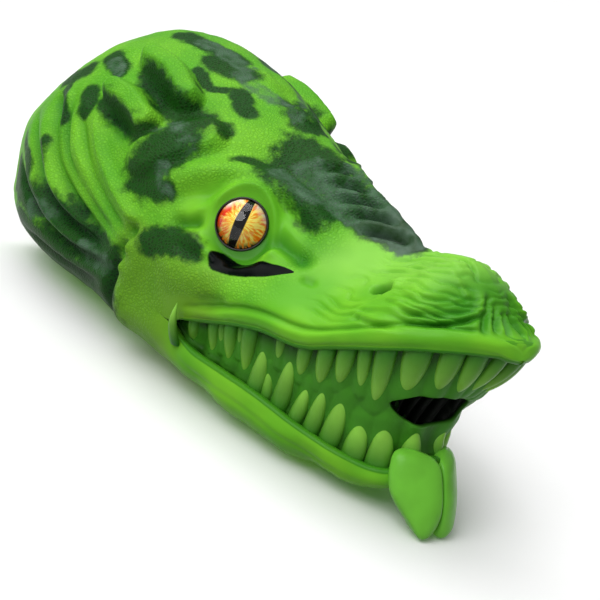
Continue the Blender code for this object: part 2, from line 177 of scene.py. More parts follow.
def sections(x, inset=0.0):
    """Half cross-sections at each x: (upper, lower), each from its lip to the middle, as (y, z) points."""
    upper_z, upper_y, lower_z, lower_y = lips(x)
    lip_round = LIP_ROUND * smooth((x - CORNER[0]) / 14)
    room = np.maximum(top(x) - upper_z, 0.5)
    edge = upper_z + np.minimum(lip_round, room * 0.3)
    middle = np.minimum(np.maximum(wide_z(x), edge + 0.15), top(x) - 0.1)
    width = np.maximum(half_width(x) - inset, 0.2)
    lip = np.maximum(upper_y - inset, 0.2)
    crown = superellipse(width, np.maximum(top(x) - inset - middle, 0.1), top_power(x))
    crown[..., 1] += middle[:, None]
    halfway = np.stack(((lip + width) / 2 + 0.5, (edge + middle) / 2), 1)
    cheek = np.stack((np.stack((lip, edge), 1), halfway), 1)
    upper = evenly(np.concatenate((cheek, crown), 1), HALF_COLUMNS)
    sill = lower_z - np.minimum(lip_round, (lower_z - bottom(x)) * 0.3)
    depth = np.maximum(sill - bottom(x) - inset, 0.3)
    trough = superellipse(np.maximum(lower_y - inset, 0.2), depth, low_power(x))
    trough[..., 1] = sill[:, None] - trough[..., 1]
    lower = evenly(trough, HALF_COLUMNS)
    # behind the mouth's corner the two halves are one smooth outline
    joined = np.concatenate((lower[:, ::-1], upper[:, 1:]), 1)
    for _ in range(SMOOTHINGS):
        for line in (joined, upper, lower):
            line[:, 1:-1] = (line[:, :-2] + 2 * line[:, 1:-1] + line[:, 2:]) / 4
    mix = smooth((x - CORNER[0] + 8) / 8)[:, None, None]
    return (joined[:, HALF_COLUMNS - 1:] * (1 - mix) + upper * mix,
            joined[:, HALF_COLUMNS - 1::-1] * (1 - mix) + lower * mix)


def stations(outline, tip):
    """Places along x: even up to the mouth's corner, then even along the outline round to the tip."""
    count = round((CORNER[0] - NECK_RIM_X) / STATION_STEP)
    back = np.linspace(NECK_RIM_X, CORNER[0], count + 1)
    fine = CORNER[0] + (tip - CORNER[0]) * (1 - (1 - np.linspace(0, 1, 3000)) ** 2)
    line = np.stack((fine, outline(fine)), 1)[None]
    length = np.linalg.norm(np.diff(line[0], axis=0), axis=1).sum()
    front = evenly(line, round(length / STATION_STEP))[0, :, 0]
    return np.concatenate((back, front[1:]))


def lip_shelf(x, lip_y, lip_z, up):
    """The rounded underside of a lip, from its inner end out to the outer skin. up is 1 above, -1 below."""
    slope = np.gradient(lip_y, x)
    inward = np.stack((slope, -np.ones_like(x)), 1) / np.hypot(slope, 1)[:, None]
    opened = smooth((x - CORNER[0]) / 8)
    rounding = LIP_ROUND * smooth((x - CORNER[0]) / 14)
    whole_depth = WALL + (LIP_DEPTH - WALL) * opened
    columns = []
    for k in range(LIP_COLUMNS, 0, -1):
        turn = min(k / (LIP_COLUMNS * 0.5), 1) * math.pi / 2
        beyond = max(k / (LIP_COLUMNS * 0.5) - 1, 0)
        depth = rounding * (1 - math.cos(turn)) + (whole_depth - rounding) * beyond
        if turn < math.pi / 2:
            depth = np.maximum(depth, 0.02 * k)
        height = rounding * (1 - math.sin(turn)) + LIP_RISE * beyond ** 1.5 * opened
        z = lip_z + up * (height - rounding)
        columns.append(np.stack((x + inward[:, 0] * depth, lip_y + inward[:, 1] * depth, z), 1))
    return np.stack(columns, 1)


def mirrored(half):
    """The whole width of a grid from its +y half, which ends on y = 0."""
    return np.concatenate((half, half[:, -2::-1] * (1, -1, 1)), 1)


def grid_normals(grid, outward):
    """Unit normals of a grid of points, on the side where outward(points) points."""
    across = np.cross(np.gradient(grid, axis=0), np.gradient(grid, axis=1))
    across /= np.linalg.norm(across, axis=2, keepdims=True) + 1e-12
    side = np.sign((across * outward(grid)).sum(2).mean())
    return across * side


def away_from_axis(grid):
    """A rough outward direction for the head: from the line along its middle."""
    x = grid[..., 0]
    return grid - np.stack((np.minimum(x, AXIS_END_X), 0 * x, AXIS_Z + 0 * x), 2)


def half_skin(x, part, up):
    """One half skin: (shelf under its lip, outer grid, inner grid) from the lip to the middle."""
    tip = x[-1]
    outer = sections(x)[part]
    outer = np.concatenate((np.repeat(x[:, None, None], HALF_COLUMNS, 1), outer), 2)
    turn = np.clip((x - (tip - TIP_TURN)) / TIP_TURN, 0, 0.999)
    inset = WALL * np.sqrt(1 - turn ** 2)
    behind = x - WALL * turn
    inner = sections(behind, inset)[part][:, ::INNER_RATIO]
    inner = np.concatenate((np.repeat(behind[:, None, None], inner.shape[1], 1), inner), 2)
    shelf = lip_shelf(x, outer[:, 0, 1], outer[:, 0, 2], up)
    return shelf, outer, inner[:, 1:]


# ------------------------------------------------------------------ sculpting


def path(points, pieces=8):
    """A smooth line through a few points."""
    p = np.array(points, float)
    p = np.concatenate((2 * p[:1] - p[1:2], p, 2 * p[-1:] - p[-2:-1]))
    t = np.linspace(0, 1, pieces, endpoint=False)[:, None]
    out = []
    for a, b, c, d in zip(p, p[1:], p[2:], p[3:]):
        square, cube = 2 * a - 5 * b + 4 * c - d, 3 * b - a - 3 * c + d
        out.append(0.5 * (2 * b + (c - a) * t + square * t ** 2 + cube * t ** 3))
    return np.concatenate(out + [p[-2:-1]])


def distance(points, line):
    """For each point: (its distance to the line, how far along the line that is from 0 to 1)."""
    nearest = np.full(len(points), 1e9)
    place_on = np.zeros(len(points))
    for i, (a, b) in enumerate(zip(line, line[1:])):
        span = b - a
        t = np.clip(((points - a) @ span) / (span @ span + 1e-12), 0, 1)
        d = np.linalg.norm(points - a - t[:, None] * span, axis=1)
        closer = d < nearest
        nearest[closer] = d[closer]
        place_on[closer] = ((i + t) / (len(line) - 1))[closer]
    return nearest, place_on


def near(points, line, reach):
    """The numbers of the points that lie within reach of the box round a line."""
    low, high = line.min(0) - reach, line.max(0) + reach
    return np.nonzero(((points >= low) & (points <= high)).all(1))[0]


def stroke(points, through, width, height, ends=0.25, square=2.0):
    """A ridge, or with a negative height a groove, along a line, that fades out towards its ends."""
    line = path(through)
    out = np.zeros(len(points))
    close = near(points, line, 3 * width)
    d, t = distance(points[close], line)
    fade = smooth(t / ends) * smooth((1 - t) / ends) if ends else 1.0
    out[close] = height * fade * np.exp(-(d / width) ** square)
    return out


def pad(points, through, radius, height, soft=1.0):
    """A raised pad with a flat crown and rounded shoulders along a line."""
    line = path(through)
    out = np.zeros(len(points))
    close = near(points, line, radius + 3 * soft)
    d, _ = distance(points[close], line)
    out[close] = height * smooth((radius + soft - d) / (2 * soft + radius * 0.4))
    return out


def noise(points, size, seed):
    """Smooth random values from -1 to 1 in space, with features of about this size."""
    values = np.random.default_rng(seed).uniform(-1, 1, (64, 64, 64))
    at = points / size
    base = np.floor(at).astype(int)
    t = smooth(at - base)
    total = 0
    for corner in range(8):
        step = np.array([(corner >> k) & 1 for k in range(3)])
        weight = np.prod(np.where(step, t, 1 - t), axis=1)
        i, j, k = ((base + step) % 64).T
        total = total + weight * values[i, j, k]
    return total


EYE = np.array((84.5, 29.5, 53.0))
EYE_WAY = np.array((0.50, 0.80, 0.33)) / np.linalg.norm((0.50, 0.80, 0.33))
EYE_RADIUS = 7.0
EYE_ALONG = np.cross((0, 0, 1), EYE_WAY)
EYE_ALONG /= -np.linalg.norm(EYE_ALONG)  # towards the snout
EYE_UP = np.cross(EYE_ALONG, EYE_WAY)
EYE_UP *= np.sign(EYE_UP[2])


def eye_terms(points):
    """Points as (towards the snout, up, out) from the middle of the eye."""
    offset = points - EYE
    return offset @ EYE_ALONG, offset @ EYE_UP, offset @ EYE_WAY


NECK_FOLDS = (  # (line, width, height) of each
    (((-6, 40, 60), (4, 41, 53), (15, 43, 42), (27, 43, 35), (40, 43, 31), (52, 42, 30)), 2.4, -2.6),
    (((6, 38, 63), (11, 42, 54), (19, 44, 45), (29, 43, 40), (42, 43, 35), (55, 42, 33)), 2.2, -2.4),
    (((13, 40, 60), (19, 42, 54), (28, 43, 47), (38, 43, 42), (48, 43, 38), (57, 42, 36)), 2.0, -2.2),
    (((-12, 37, 50), (0, 43, 42), (10, 44, 33), (22, 43, 28), (36, 42, 27), (50, 42, 27)), 2.4, -2.6),
    (((-14, 36, 36), (-2, 41, 28), (12, 42, 22), (28, 41, 20), (42, 40, 22), (52, 40, 23)), 2.4, -2.4),
    (((-10, 33, 20), (6, 37, 14), (22, 38, 13), (38, 38, 15), (50, 39, 18)), 2.2, -1.8),
)
REAR_CREASE = ((60, 41, 42), (57, 43, 36), (56, 43, 31), (54, 42, 24), (53, 41, 18), (53, 38, 10),
               (54, 30, 4))
CREASE_KNOBS = (((56.5, 43, 34.5), (58.5, 43, 33.5)), ((55, 42.5, 27.5), (57.5, 42, 27)))
SCUTES = (  # (line, radius, height) of each
    (((22, 36, 67), (31, 35, 66.5), (40, 35.5, 64)), 4.4, 5.2),
    (((22, 26, 78), (32, 26, 78), (43, 27, 74)), 4.6, 5.6),
    (((48, 38, 57), (53, 34, 63), (57, 29, 68)), 7.4, 3.4),
)
# (x, y, size, height) of the low bumps along the middle
CREST_BUMPS = ((46, 3, 5, 1.6), (58, 5, 4, 1.3), (63, 1.5, 3, 2.2), (74, 3, 6, 1.6), (85, 2, 5, 1.4))
TEMPLE_RIDGE = ((60, 38, 51), (66, 34, 57), (72, 28, 63), (80, 22, 64), (92, 18, 62), (104, 16, 58))
TEMPLE_HOLLOW = ((64, 24, 71), (76, 17, 70), (90, 13, 66), (106, 12, 61))


def sculpt_neck(p):
    """Folds that gather at the back of the cheek, and the deep crease that ends the cheek."""
    out = sum(stroke(p, line, width * 0.85, depth * 1.3, 0.18) for line, width, depth in NECK_FOLDS)
    beside = (5, 0, 3.5)
    out += sum(stroke(p, np.array(line) + beside, width * 0.9, 1.7, 0.2) for line, width, _ in NECK_FOLDS)
    out += stroke(p, REAR_CREASE, 2.2, -3.2, 0.16)
    out += stroke(p, np.array(REAR_CREASE) + (6, 0, 0), 4.0, 1.6, 0.2)
    out += stroke(p, CREASE_KNOBS[0], 2.2, 2.2, 0)
    return out + stroke(p, CREASE_KNOBS[1], 1.8, 1.6, 0)


def sculpt_cranium(p):
    """Long scutes on the back of the head, low bumps along its middle and a ridge at each temple."""
    out = sum(pad(p, line, radius, height) for line, radius, height in SCUTES)
    for line, radius, _ in SCUTES[:2]:
        below = np.array(line) + (0, 4.2, -radius * 1.45)
        out += stroke(p, below, 2.4, -2.4, 0.3)
    for x, y, size, height in CREST_BUMPS:
        out += stroke(p, ((x - 2, y, top(x)), (x + 2, y, top(x))), size, height, 0)
    out += stroke(p, TEMPLE_RIDGE, 5.5, 1.8, 0.3)
    return out + stroke(p, TEMPLE_HOLLOW, 4.5, -1.0, 0.3)


BROW = ((56, 41, 46), (59, 38, 53), (64, 34, 58), (71, 29, 62.5), (78, 23, 65), (88, 17, 64), (100, 15, 60),
        (110, 15, 56))
UPPER_LID = ((70, 39, 46), (73, 36.5, 51), (76, 33.5, 56.5), (81, 29, 60.5), (88, 25, 61), (94, 23.5, 58.5),
             (101, 23, 55))
LOWER_LID = ((71, 39, 45), (77, 38, 44.5), (84, 36, 44.8), (90, 33, 46.4), (97, 28, 50.5), (106, 23, 52))
REAR_LID_GROOVE = ((67, 40, 44), (71, 38.5, 46.5), (75, 36.5, 49.5), (78, 34.5, 52))
FRONT_LID_GROOVE = ((91, 27, 55), (97, 25.5, 54), (103, 24, 53), (110, 22, 52))


def sculpt_eye(p):
    """Seats the eye flush in the skin, under a heavy brow, with lids that meet in long corners."""
    along, up, out_by = eye_terms(p)
    here = np.abs(out_by) < 12
    ring = np.hypot(along, up)
    out = stroke(p, BROW, 4.2, 2.8, 0.22)
    out += stroke(p, np.array(BROW[1:]) + (3, 3, -4.5), 2.4, -1.5, 0.25)
    out += stroke(p, UPPER_LID, 1.5, 1.6, 0.25)
    out += stroke(p, REAR_LID_GROOVE, 2.2, -3.0, 0.4)
    out += stroke(p, FRONT_LID_GROOVE, 2.8, -3.0, 0.3)
    out += stroke(p, LOWER_LID, 2.1, 1.7, 0.3)
    out += stroke(p, np.array(LOWER_LID) + (0, 2, -3.6), 1.8, -0.9, 0.25)
    seat = smooth((13.0 - ring) / 5.0) * here
    out = out * (1 - seat) + seat * (-0.3 - out_by)
    welt = np.exp(-((ring - 9.2) / 1.1) ** 2)
    return out + welt * here * (0.2 + 1.1 * smooth((up + 2) / 7))


KEEL = ((84, 0, 74), (100, 0, 71), (112, 0, 68), (123, 0, 66))
RIBS = 5
RIB_START_X = 80
RIB_STEP = 6.8


def sculpt_ribs(p):
    """Five curved grooves each side of the bridge of the nose, that run up to a keel."""
    out = stroke(p, KEEL, 2.2, 2.0, 0.15)
    for k in range(RIBS):
        x = RIB_START_X + RIB_STEP * k
        lift = top(x + 8)
        line = ((x - 3, 12 - k * 0.4, lift - 8 - k), (x + 1, 8, lift - 4.5), (x + 7, 4, lift - 1.8),
                (x + 13, 1.4, lift - 1))
        out += stroke(p, line, 1.0, -3.0, 0.22)
        out += stroke(p, np.array(line) + (-2.8, 0, 0.4), 1.9, 2.0, 0.22)
    return out


NOSTRIL = ((129, 18.6, 55.6), (131, 17.8, 56.3))
NOSTRIL_RIM = ((124, 21, 55), (128, 18.5, 59), (134, 16.5, 60.5))
SNOUT_PIT = ((111, 26, 49), (112.5, 25.5, 49.3))
SNOUT_WRINKLES = (
    ((116, 20, 54), (122, 16, 58), (126, 13, 60)),
    ((112, 15, 59), (120, 11, 62), (128, 9, 63), (137, 10, 64.5)),
    ((138, 9, 66), (146, 11, 66), (152, 12, 64)),
    ((140, 23, 55.5), (147, 19, 59.5), (150, 13, 64), (150, 8, 67)),
    ((128, 27, 48.5), (138, 27, 50), (147, 24, 53)),
    ((150, 21, 56.5), (156, 16.5, 58.5), (159, 12, 60)),
    ((119, 14, 56), (126, 11, 60), (134, 12, 62), (142, 15, 63)),
    ((118, 9, 60), (127, 5, 64), (136, 6, 67), (145, 8, 67)),
    ((122, 5, 63), (131, 2, 67), (140, 3, 70), (148, 6, 69)),
    ((134, 19, 58), (141, 20, 59), (148, 15, 63)),
    ((132, 22, 55), (143, 23, 56.5), (148, 20, 59)),
    ((136, 25, 53), (146, 24, 55), (152, 19, 58), (155, 14, 61), (155, 8, 64), (153, 3, 67)),
    ((143, 24, 53), (150, 21, 56), (154, 16, 60), (156, 11, 63), (156, 6, 64.5)),
    ((126, 26, 50), (135, 25, 52), (144, 22, 56), (150, 17, 60), (152, 11, 64)),
)
SNOUT_FOLDS = (
    ((160, 12, 58), (158, 10, 62), (155, 7, 65.5), (150, 3, 68.5)),
    ((161, 8, 59), (158, 5.5, 63.5), (154, 2.5, 67)),
    ((162, 4, 59.5), (160, 2.5, 62), (156, 1, 66)),
)


def sculpt_snout(p):
    """Nostrils, long fine wrinkles, and the folds that fan out at the tip."""
    out = stroke(p, NOSTRIL, 1.7, -5.0, 0, 3.0)
    out += stroke(p, NOSTRIL_RIM, 2.6, 1.3, 0.2)
    out += stroke(p, SNOUT_PIT, 1.5, -1.0, 0)
    lift = p[:, 2] - lips(p[:, 0])[0]
    out -= 3.0 * smooth((p[:, 0] - 138) / 16) * smooth((lift - 3.5) / 8)
    region = smooth((p[:, 0] - 114) / 10) * smooth((161 - p[:, 0]) / 8) * smooth((lift - 6) / 5)
    wave = np.sin(2 * math.pi * (lift + 2.4 * noise(p, 8, 21) + 0.7 * noise(p, 3.2, 22)) / 2.3)
    out -= 0.6 * region * (0.5 + 0.5 * wave) ** 3 * smooth(0.55 + 0.8 * noise(p, 6, 23))
    out += sum(stroke(p, line, 0.7, -1.1, 0.3) for line in SNOUT_WRINKLES)
    out += sum(stroke(p, np.array(line) + (0, 0, 1.6), 1.2, 0.6, 0.3) for line in SNOUT_WRINKLES)
    out += sum(stroke(p, line, 1.2, -1.5, 0.25) for line in SNOUT_FOLDS)
    out += sum(stroke(p, np.array(line) + (-1, 2.2, 0.3), 1.6, 1.1, 0.3) for line in SNOUT_FOLDS)
    return out


def sculpt_lip(from_edge, x, start, band, tip):
    """The smooth band along a lip and the crease that ends it, by the distance from the lip's edge."""
    strength = smooth((x - start) / 12) * (1 - 0.8 * smooth((x - tip + 22) / 14))
    bulge = np.exp(-((from_edge - band * 0.5) / (band * 0.42)) ** 4) * 0.8
    crease = np.exp(-(from_edge - band) ** 2)
    return strength * (bulge - crease)


CHEEK_GROOVE = ((86, 38, 30), (92, 38, 33), (99, 37, 35))
CHEEK_SWELL = ((70, 41, 33), (82, 41, 36), (96, 38, 39))


def relief(grid, part):
    """How far the skin stands out from its plain shape, at each point of a grid."""
    flat = grid.reshape(-1, 3)
    p = flat * (1, 0, 1) + np.abs(flat) * (0, 1, 0)
    out = sculpt_neck(p) + sculpt_cranium(p) + sculpt_ribs(p) + sculpt_snout(p)
    out += stroke(p, CHEEK_GROOVE, 1.8, -1.0, 0.3)
    out += stroke(p, CHEEK_SWELL, 6.0, 1.2, 0.3)
    out += sculpt_eye(p)
    steps = np.linalg.norm(np.diff(grid, axis=1), axis=2)
    along = np.concatenate((np.zeros((len(grid), 1)), np.cumsum(steps, 1)), 1)
    along = np.minimum(along, along[:, -1:] - along).reshape(-1)
    if part == 0:
        band = 3.6 + smooth((p[:, 0] - 90) / 15) + 2.4 * smooth((p[:, 0] - 125) / 25)
        out += sculpt_lip(along, p[:, 0], 81, band, SNOUT_TIP_X)
    else:
        out += 0.2 * sculpt_lip(along, p[:, 0], 80, 4.6, JAW_TIP_X)
        lumps = 1.7 * noise(p * (1, 0.4, 0.4), 10, 8)
        out += lumps * smooth((p[:, 0] - 82) / 20) * smooth((13 - p[:, 2]) / 4)
    tip_fade = smooth(((SNOUT_TIP_X, JAW_TIP_X)[part] - p[:, 0]) / 3)
    out += 0.35 * noise(flat, 9, 3) + 0.12 * noise(flat, 3.2, 5)
    return (out * tip_fade).reshape(grid.shape[:2])


# ------------------------------------------------------------------ meshes


def strip_faces(rows, columns):
    """Quads of a grid of points numbered row by row."""
    i, j = np.meshgrid(np.arange(rows - 1), np.arange(columns - 1), indexing="ij")
    a = (i * columns + j).reshape(-1)
    return np.stack((a, a + 1, a + columns + 1, a + columns), 1)


def ring_faces(rows, columns):
    """Faces of a loft through rows of closed rings."""
    i, j = np.meshgrid(np.arange(rows - 1), np.arange(columns), indexing="ij")
    k = (j + 1) % columns
    here, there = i * columns, (i + 1) * columns
    return np.stack([v.reshape(-1) for v in (here + j, here + k, there + k, there + j)], 1)


def closed_loft(rows, sides, first=0):
    """Faces of a loft through rings of points, numbered from first, with both ends closed."""
    faces = (ring_faces(rows, sides) + first).tolist()
    faces.append(list(range(first, first + sides))[::-1])
    faces.append(list(range(first + (rows - 1) * sides, first + rows * sides)))
    return faces


def turns(sides):
    """Even angles round a circle, as one row."""
    return np.linspace(0, 2 * math.pi, sides, endpoint=False)[None, :]


def add_object(name, data):
    """A new object in the scene."""
    thing = bpy.data.objects.new(name, data)
    bpy.context.scene.collection.objects.link(thing)
    return thing


def make_object(name, points, faces, made, lay=None):
    """A smooth-shaded mesh object from millimetre points, that remembers where each point lay."""
    mesh = bpy.data.meshes.new(name)
    mesh.from_pydata(place(points).tolist(), [], [list(map(int, f)) for f in faces])
    mesh.validate()
    mesh.shade_smooth()
    remembered = mesh.attributes.new("lay", "FLOAT_VECTOR", "POINT")
    remembered.data.foreach_set("vector", np.asarray(points if lay is None else lay, np.float32).reshape(-1))
    mesh.materials.append(made)
    return add_object(name, mesh)


def add_value(thing, name, values):
    """A number at each point of a mesh, that its material reads."""
    attribute = thing.data.attributes.new(name, "FLOAT", "POINT")
    attribute.data.foreach_set("value", np.asarray(values, np.float32))


def cap_faces(first, outer_count, inner_count, flip):
    """The end of a skin: faces from the outer to the inner line of the ring that starts at first."""
    outer = [first + k for k in range(outer_count)]
    inner = [first + outer_count + k for k in range(inner_count)][::-1]
    cuts = [0] + [LIP_COLUMNS + INNER_RATIO * (j + 1) for j in range(inner_count)]
    cuts[-1] = outer_count - 1
    faces = []
    previous = None
    for j in range(inner_count):
        run = outer[cuts[j]:cuts[j + 1] + 1]
        face = run + [inner[j]] + ([previous] if previous is not None else [])
        faces.append(face if flip else face[::-1])
        previous = inner[j]
    return faces


def plain_skin(name, part, x, up, rubber):
    """The surfaces of one whole skin, with nothing sculpted on them yet."""
    shelf, outer, inner = half_skin(x, part, up)
    outer = mirrored(outer)
    return dict(name=name, part=part, x=x, material=rubber, outer=outer, inner=mirrored(inner),
                shelves=(shelf, shelf[:, ::-1] * (1, -1, 1)), normal=grid_normals(outer, away_from_axis))


def shared_rows(a, b):
    """How many rings both skins share, behind the mouth's corner."""
    return min(np.sum(skin["x"] <= CORNER[0] + 0.01) for skin in (a, b))


def share_seam(a, b, key):
    """Makes a quantity the same on both skins along their shared line behind the mouth's corner."""
    shared = shared_rows(a, b)
    for column in (0, -1):
        middle = (a[key][:shared, column] + b[key][:shared, column]) / 2
        a[key][:shared, column] = b[key][:shared, column] = middle


def lowest_near(values, reach):
    """The lowest value within some rows and columns of each one."""
    for axis, widths in enumerate((((reach, reach), (0, 0)), ((0, 0), (reach, reach)))):
        padded = np.pad(values, widths, mode="edge")
        windows = np.lib.stride_tricks.sliding_window_view(padded, 2 * reach + 1, axis)
        values = windows.min(-1)
    return values


def unit(vectors):
    """The vectors, each made one long."""
    return vectors / (np.linalg.norm(vectors, axis=-1, keepdims=True) + 1e-12)


def level_inner_seam(a, b):
    """Finds where both skins' inner edges lie behind the mouth's corner: level with the wall, as (x, y)."""
    shared = shared_rows(a, b)
    first, second = a["inner"][:shared, 0], b["inner"][:shared, 0]
    level = np.stack(((first[:, 0] + second[:, 0]) / 2, np.minimum(first[:, 1], second[:, 1])), 1)
    a["inner_edge"] = b["inner_edge"] = level


def finish_skin(skin):
    """Builds the mesh of one skin, with its shelves, inner side and ends: (object, its rings of points)."""
    shift = skin["carved"] - skin["outer"]
    left = skin["shelves"][0] + shift[:, :1]
    right = skin["shelves"][1] + shift[:, -1:]
    behind = len(skin["inner_edge"])
    share = np.linspace(0, 1, LIP_COLUMNS + 1)[:-1, None]
    for shelf, side, column in ((left, 1, 0), (right[:, ::-1], -1, -1)):
        start, end = skin["inner_edge"] * (1, side), skin["carved"][:behind, column, :2]
        shelf[:behind, :, :2] = start[:, None] * (1 - share) + end[:, None] * share
    line = np.concatenate((left, skin["carved"], right), 1)
    rings = np.concatenate((line, skin["inner"][:, ::-1]), 1)
    rows, columns = rings.shape[:2]
    outer_count, inner_count = line.shape[1], skin["inner"].shape[1]
    faces = ring_faces(rows, columns).tolist()
    faces += cap_faces(0, outer_count, inner_count, True)
    faces += cap_faces((rows - 1) * columns, outer_count, inner_count, False)
    thing = make_object(skin["name"], rings.reshape(-1, 3), faces, skin["material"])
    return thing, rings


# ------------------------------------------------------------------ materials


def material(name, roughness, **sockets):
    """(material, its nodes, its links, its Principled shader)"""
    made = bpy.data.materials.new(name)
    made.use_nodes = True
    tree = made.node_tree
    shader = tree.nodes["Principled BSDF"]
    shader.inputs["Roughness"].default_value = roughness
    for socket, value in sockets.items():
        shader.inputs[socket.replace("_", " ")].default_value = value
    return made, tree.nodes, tree.links, shader


def linear(red, green, blue):
    """A colour from 0-255 screen values."""
    shares = (red / 255, green / 255, blue / 255)
    return tuple(c / 12.92 if c <= 0.0393 else ((c + 0.055) / 1.055) ** 2.4 for c in shares) + (1.0,)


class Wiring:
    """Short ways to add and join shader nodes."""

    def __init__(self, nodes, links):
        self.nodes, self.links = nodes, links

    def put(self, socket, value):
        """Links an output to a socket, or sets a constant on it."""
        if isinstance(value, bpy.types.NodeSocket):
            self.links.new(value, socket)
        else:
            socket.default_value = value

    def math(self, kind, a, b=0.0):
        """One step of arithmetic."""
        node = self.nodes.new("ShaderNodeMath")
        node.operation = kind
        self.put(node.inputs[0], a)
        self.put(node.inputs[1], b)
        return node.outputs[0]

    def times(self, a, b):
        return self.math("MULTIPLY", a, b)

    def plus(self, a, b):
        return self.math("ADD", a, b)

    def minus(self, a, b):
        return self.math("SUBTRACT", a, b)

    def mix(self, factor, a, b):
        """A colour between two."""
        node = self.nodes.new("ShaderNodeMix")
        node.data_type = "RGBA"
        self.put(node.inputs["Factor"], factor)
        self.put(node.inputs["A"], a)
        self.put(node.inputs["B"], b)
        return node.outputs["Result"]

    def value(self, name):
        """A number that add_value stored on the mesh."""
        node = self.nodes.new("ShaderNodeAttribute")
        node.attribute_name = name
        return node.outputs["Fac"]

    def lay(self):
        """Where the point lay before the model moved, in millimetres."""
        node = self.nodes.new("ShaderNodeAttribute")
        node.attribute_name = "lay"
        return node.outputs["Vector"]

    def noise(self, vector, scale, detail):
        """Soft random values around 0.5."""
        node = self.nodes.new("ShaderNodeTexNoise")
        node.inputs["Scale"].default_value = scale
        node.inputs["Detail"].default_value = detail
        self.links.new(vector, node.inputs["Vector"])
        return node.outputs["Fac"]

    def step(self, value, low, high):
        """0 at low, 1 at high, and an even turn between."""
        node = self.nodes.new("ShaderNodeMapRange")
        node.interpolation_type = "SMOOTHSTEP"
        self.put(node.inputs["Value"], value)
        node.inputs["From Min"].default_value = low
        node.inputs["From Max"].default_value = high
        return node.outputs["Result"]

    def bump(self, height, strength, distance):
        """Fine relief that is not in the mesh."""
        node = self.nodes.new("ShaderNodeBump")
        node.inputs["Strength"].default_value = strength
        node.inputs["Distance"].default_value = distance
        self.links.new(height, node.inputs["Height"])
        return node.outputs["Normal"]


BRIGHT = linear(124, 198, 44)
LEAF = linear(96, 176, 36)
OLIVE = linear(112, 168, 38)
# painted light: a paler green for the top of the snout, where light falls from above
PAINTED_TOP_LIGHT = linear(140, 205, 84)
SHADE = linear(24, 110, 20)
DARK_PAINT = linear(4, 36, 9)
GREY_PAINT = linear(82, 106, 88)
# black paint, also used as painted shade in the grooves of the painted patches
BLACK_PAINT_AND_SHADE = linear(1, 5, 4)


def painted(w, lay, fine):
    """(colour, how black) of the rubber with its dark, grey and black paint, with painted shade in the
    grooves, under the lips and on the inner side, and painted light on the top of the snout.
    """
    ragged = w.noise(lay, 0.28, 5.0)
    broad = w.noise(lay, 0.05, 2.0)
    colour = w.mix(w.step(broad, 0.3, 0.7), LEAF, BRIGHT)
    # painted shade: the stored shade value darkens the colour towards SHADE; the pale value paints light on
    # the top of the snout
    for name, tint in (("olive", OLIVE), ("pale", PAINTED_TOP_LIGHT), ("painted_shade", SHADE)):
        colour = w.mix(w.value(name), colour, tint)
    edge = w.plus(w.times(w.minus(ragged, 0.5), 0.8), w.times(w.minus(fine, 0.5), 0.22))
    dark = w.step(w.plus(w.value("dark"), edge), 0.10, 0.52)
    colour = w.mix(w.times(dark, 0.95), colour, DARK_PAINT)
    grey = w.step(w.plus(w.value("grey"), edge), 0.22, 0.6)
    colour = w.mix(w.times(grey, w.step(ragged, 0.15, 0.75)), colour, GREY_PAINT)
    black = w.step(w.plus(w.value("black"), w.times(edge, 0.2)), 0.36, 0.46)
    colour = w.mix(black, colour, BLACK_PAINT_AND_SHADE)
    # painted shade: grooves inside the dark and grey patches are painted black
    groove_shade = w.times(w.value("painted_shade"), w.math("MAXIMUM", dark, grey))
    return w.mix(groove_shade, colour, BLACK_PAINT_AND_SHADE), black


def skin_material():
    """Green rubber with scales, sprayed dark and grey patches, glossy black under the eyes, and painted shade
    between the scales and in the grooves.
    """
    made, nodes, links, shader = material("skin_rubber", 0.42)
    w = Wiring(nodes, links)
    lay = w.lay()
    fine = w.noise(lay, 1.4, 3.0)
    colour, black = painted(w, lay, fine)
    cells = nodes.new("ShaderNodeTexVoronoi")
    cells.feature = "DISTANCE_TO_EDGE"
    cells.inputs["Scale"].default_value = 1.0
    links.new(lay, cells.inputs["Vector"])
    scale = w.step(cells.outputs["Distance"], 0.0, 0.35)
    scaly = w.value("scaly")
    # painted shade: the gaps between the scales are painted darker towards SHADE
    scale_gap_shade = w.times(w.minus(1.0, scale), w.times(scaly, 0.28))
    links.new(w.mix(scale_gap_shade, colour, SHADE), shader.inputs["Base Color"])
    height = w.plus(w.times(scale, scaly), w.times(fine, 0.15))
    links.new(w.bump(height, 0.45, 0.0003), shader.inputs["Normal"])
    rough = w.minus(w.plus(0.36, w.times(scaly, 0.12)), w.times(black, 0.16))
    links.new(rough, shader.inputs["Roughness"])
    links.new(w.minus(0.12, w.times(black, 0.08)), shader.inputs["Specular IOR Level"])
    return made


def mouth_material(name, light, deep, roughness):
    """Smooth green rubber that is painted darker in its depths, as painted shade."""
    made, nodes, links, shader = material(name, roughness, Specular_IOR_Level=0.16)
    w = Wiring(nodes, links)
    lay = w.lay()
    shaded = tuple(0.85 * c for c in light[:3]) + (1.0,)
    colour = w.mix(w.step(w.noise(lay, 0.12, 2.0), 0.3, 0.7), light, shaded)
    # painted shade: the stored shade value darkens the colour towards deep
    colour = w.mix(w.value("painted_shade"), colour, deep)
    links.new(colour, shader.inputs["Base Color"])
    links.new(w.bump(w.noise(lay, 0.9, 3.0), 0.25, 0.0002), shader.inputs["Normal"])
    return made


# ------------------------------------------------------------------ paint

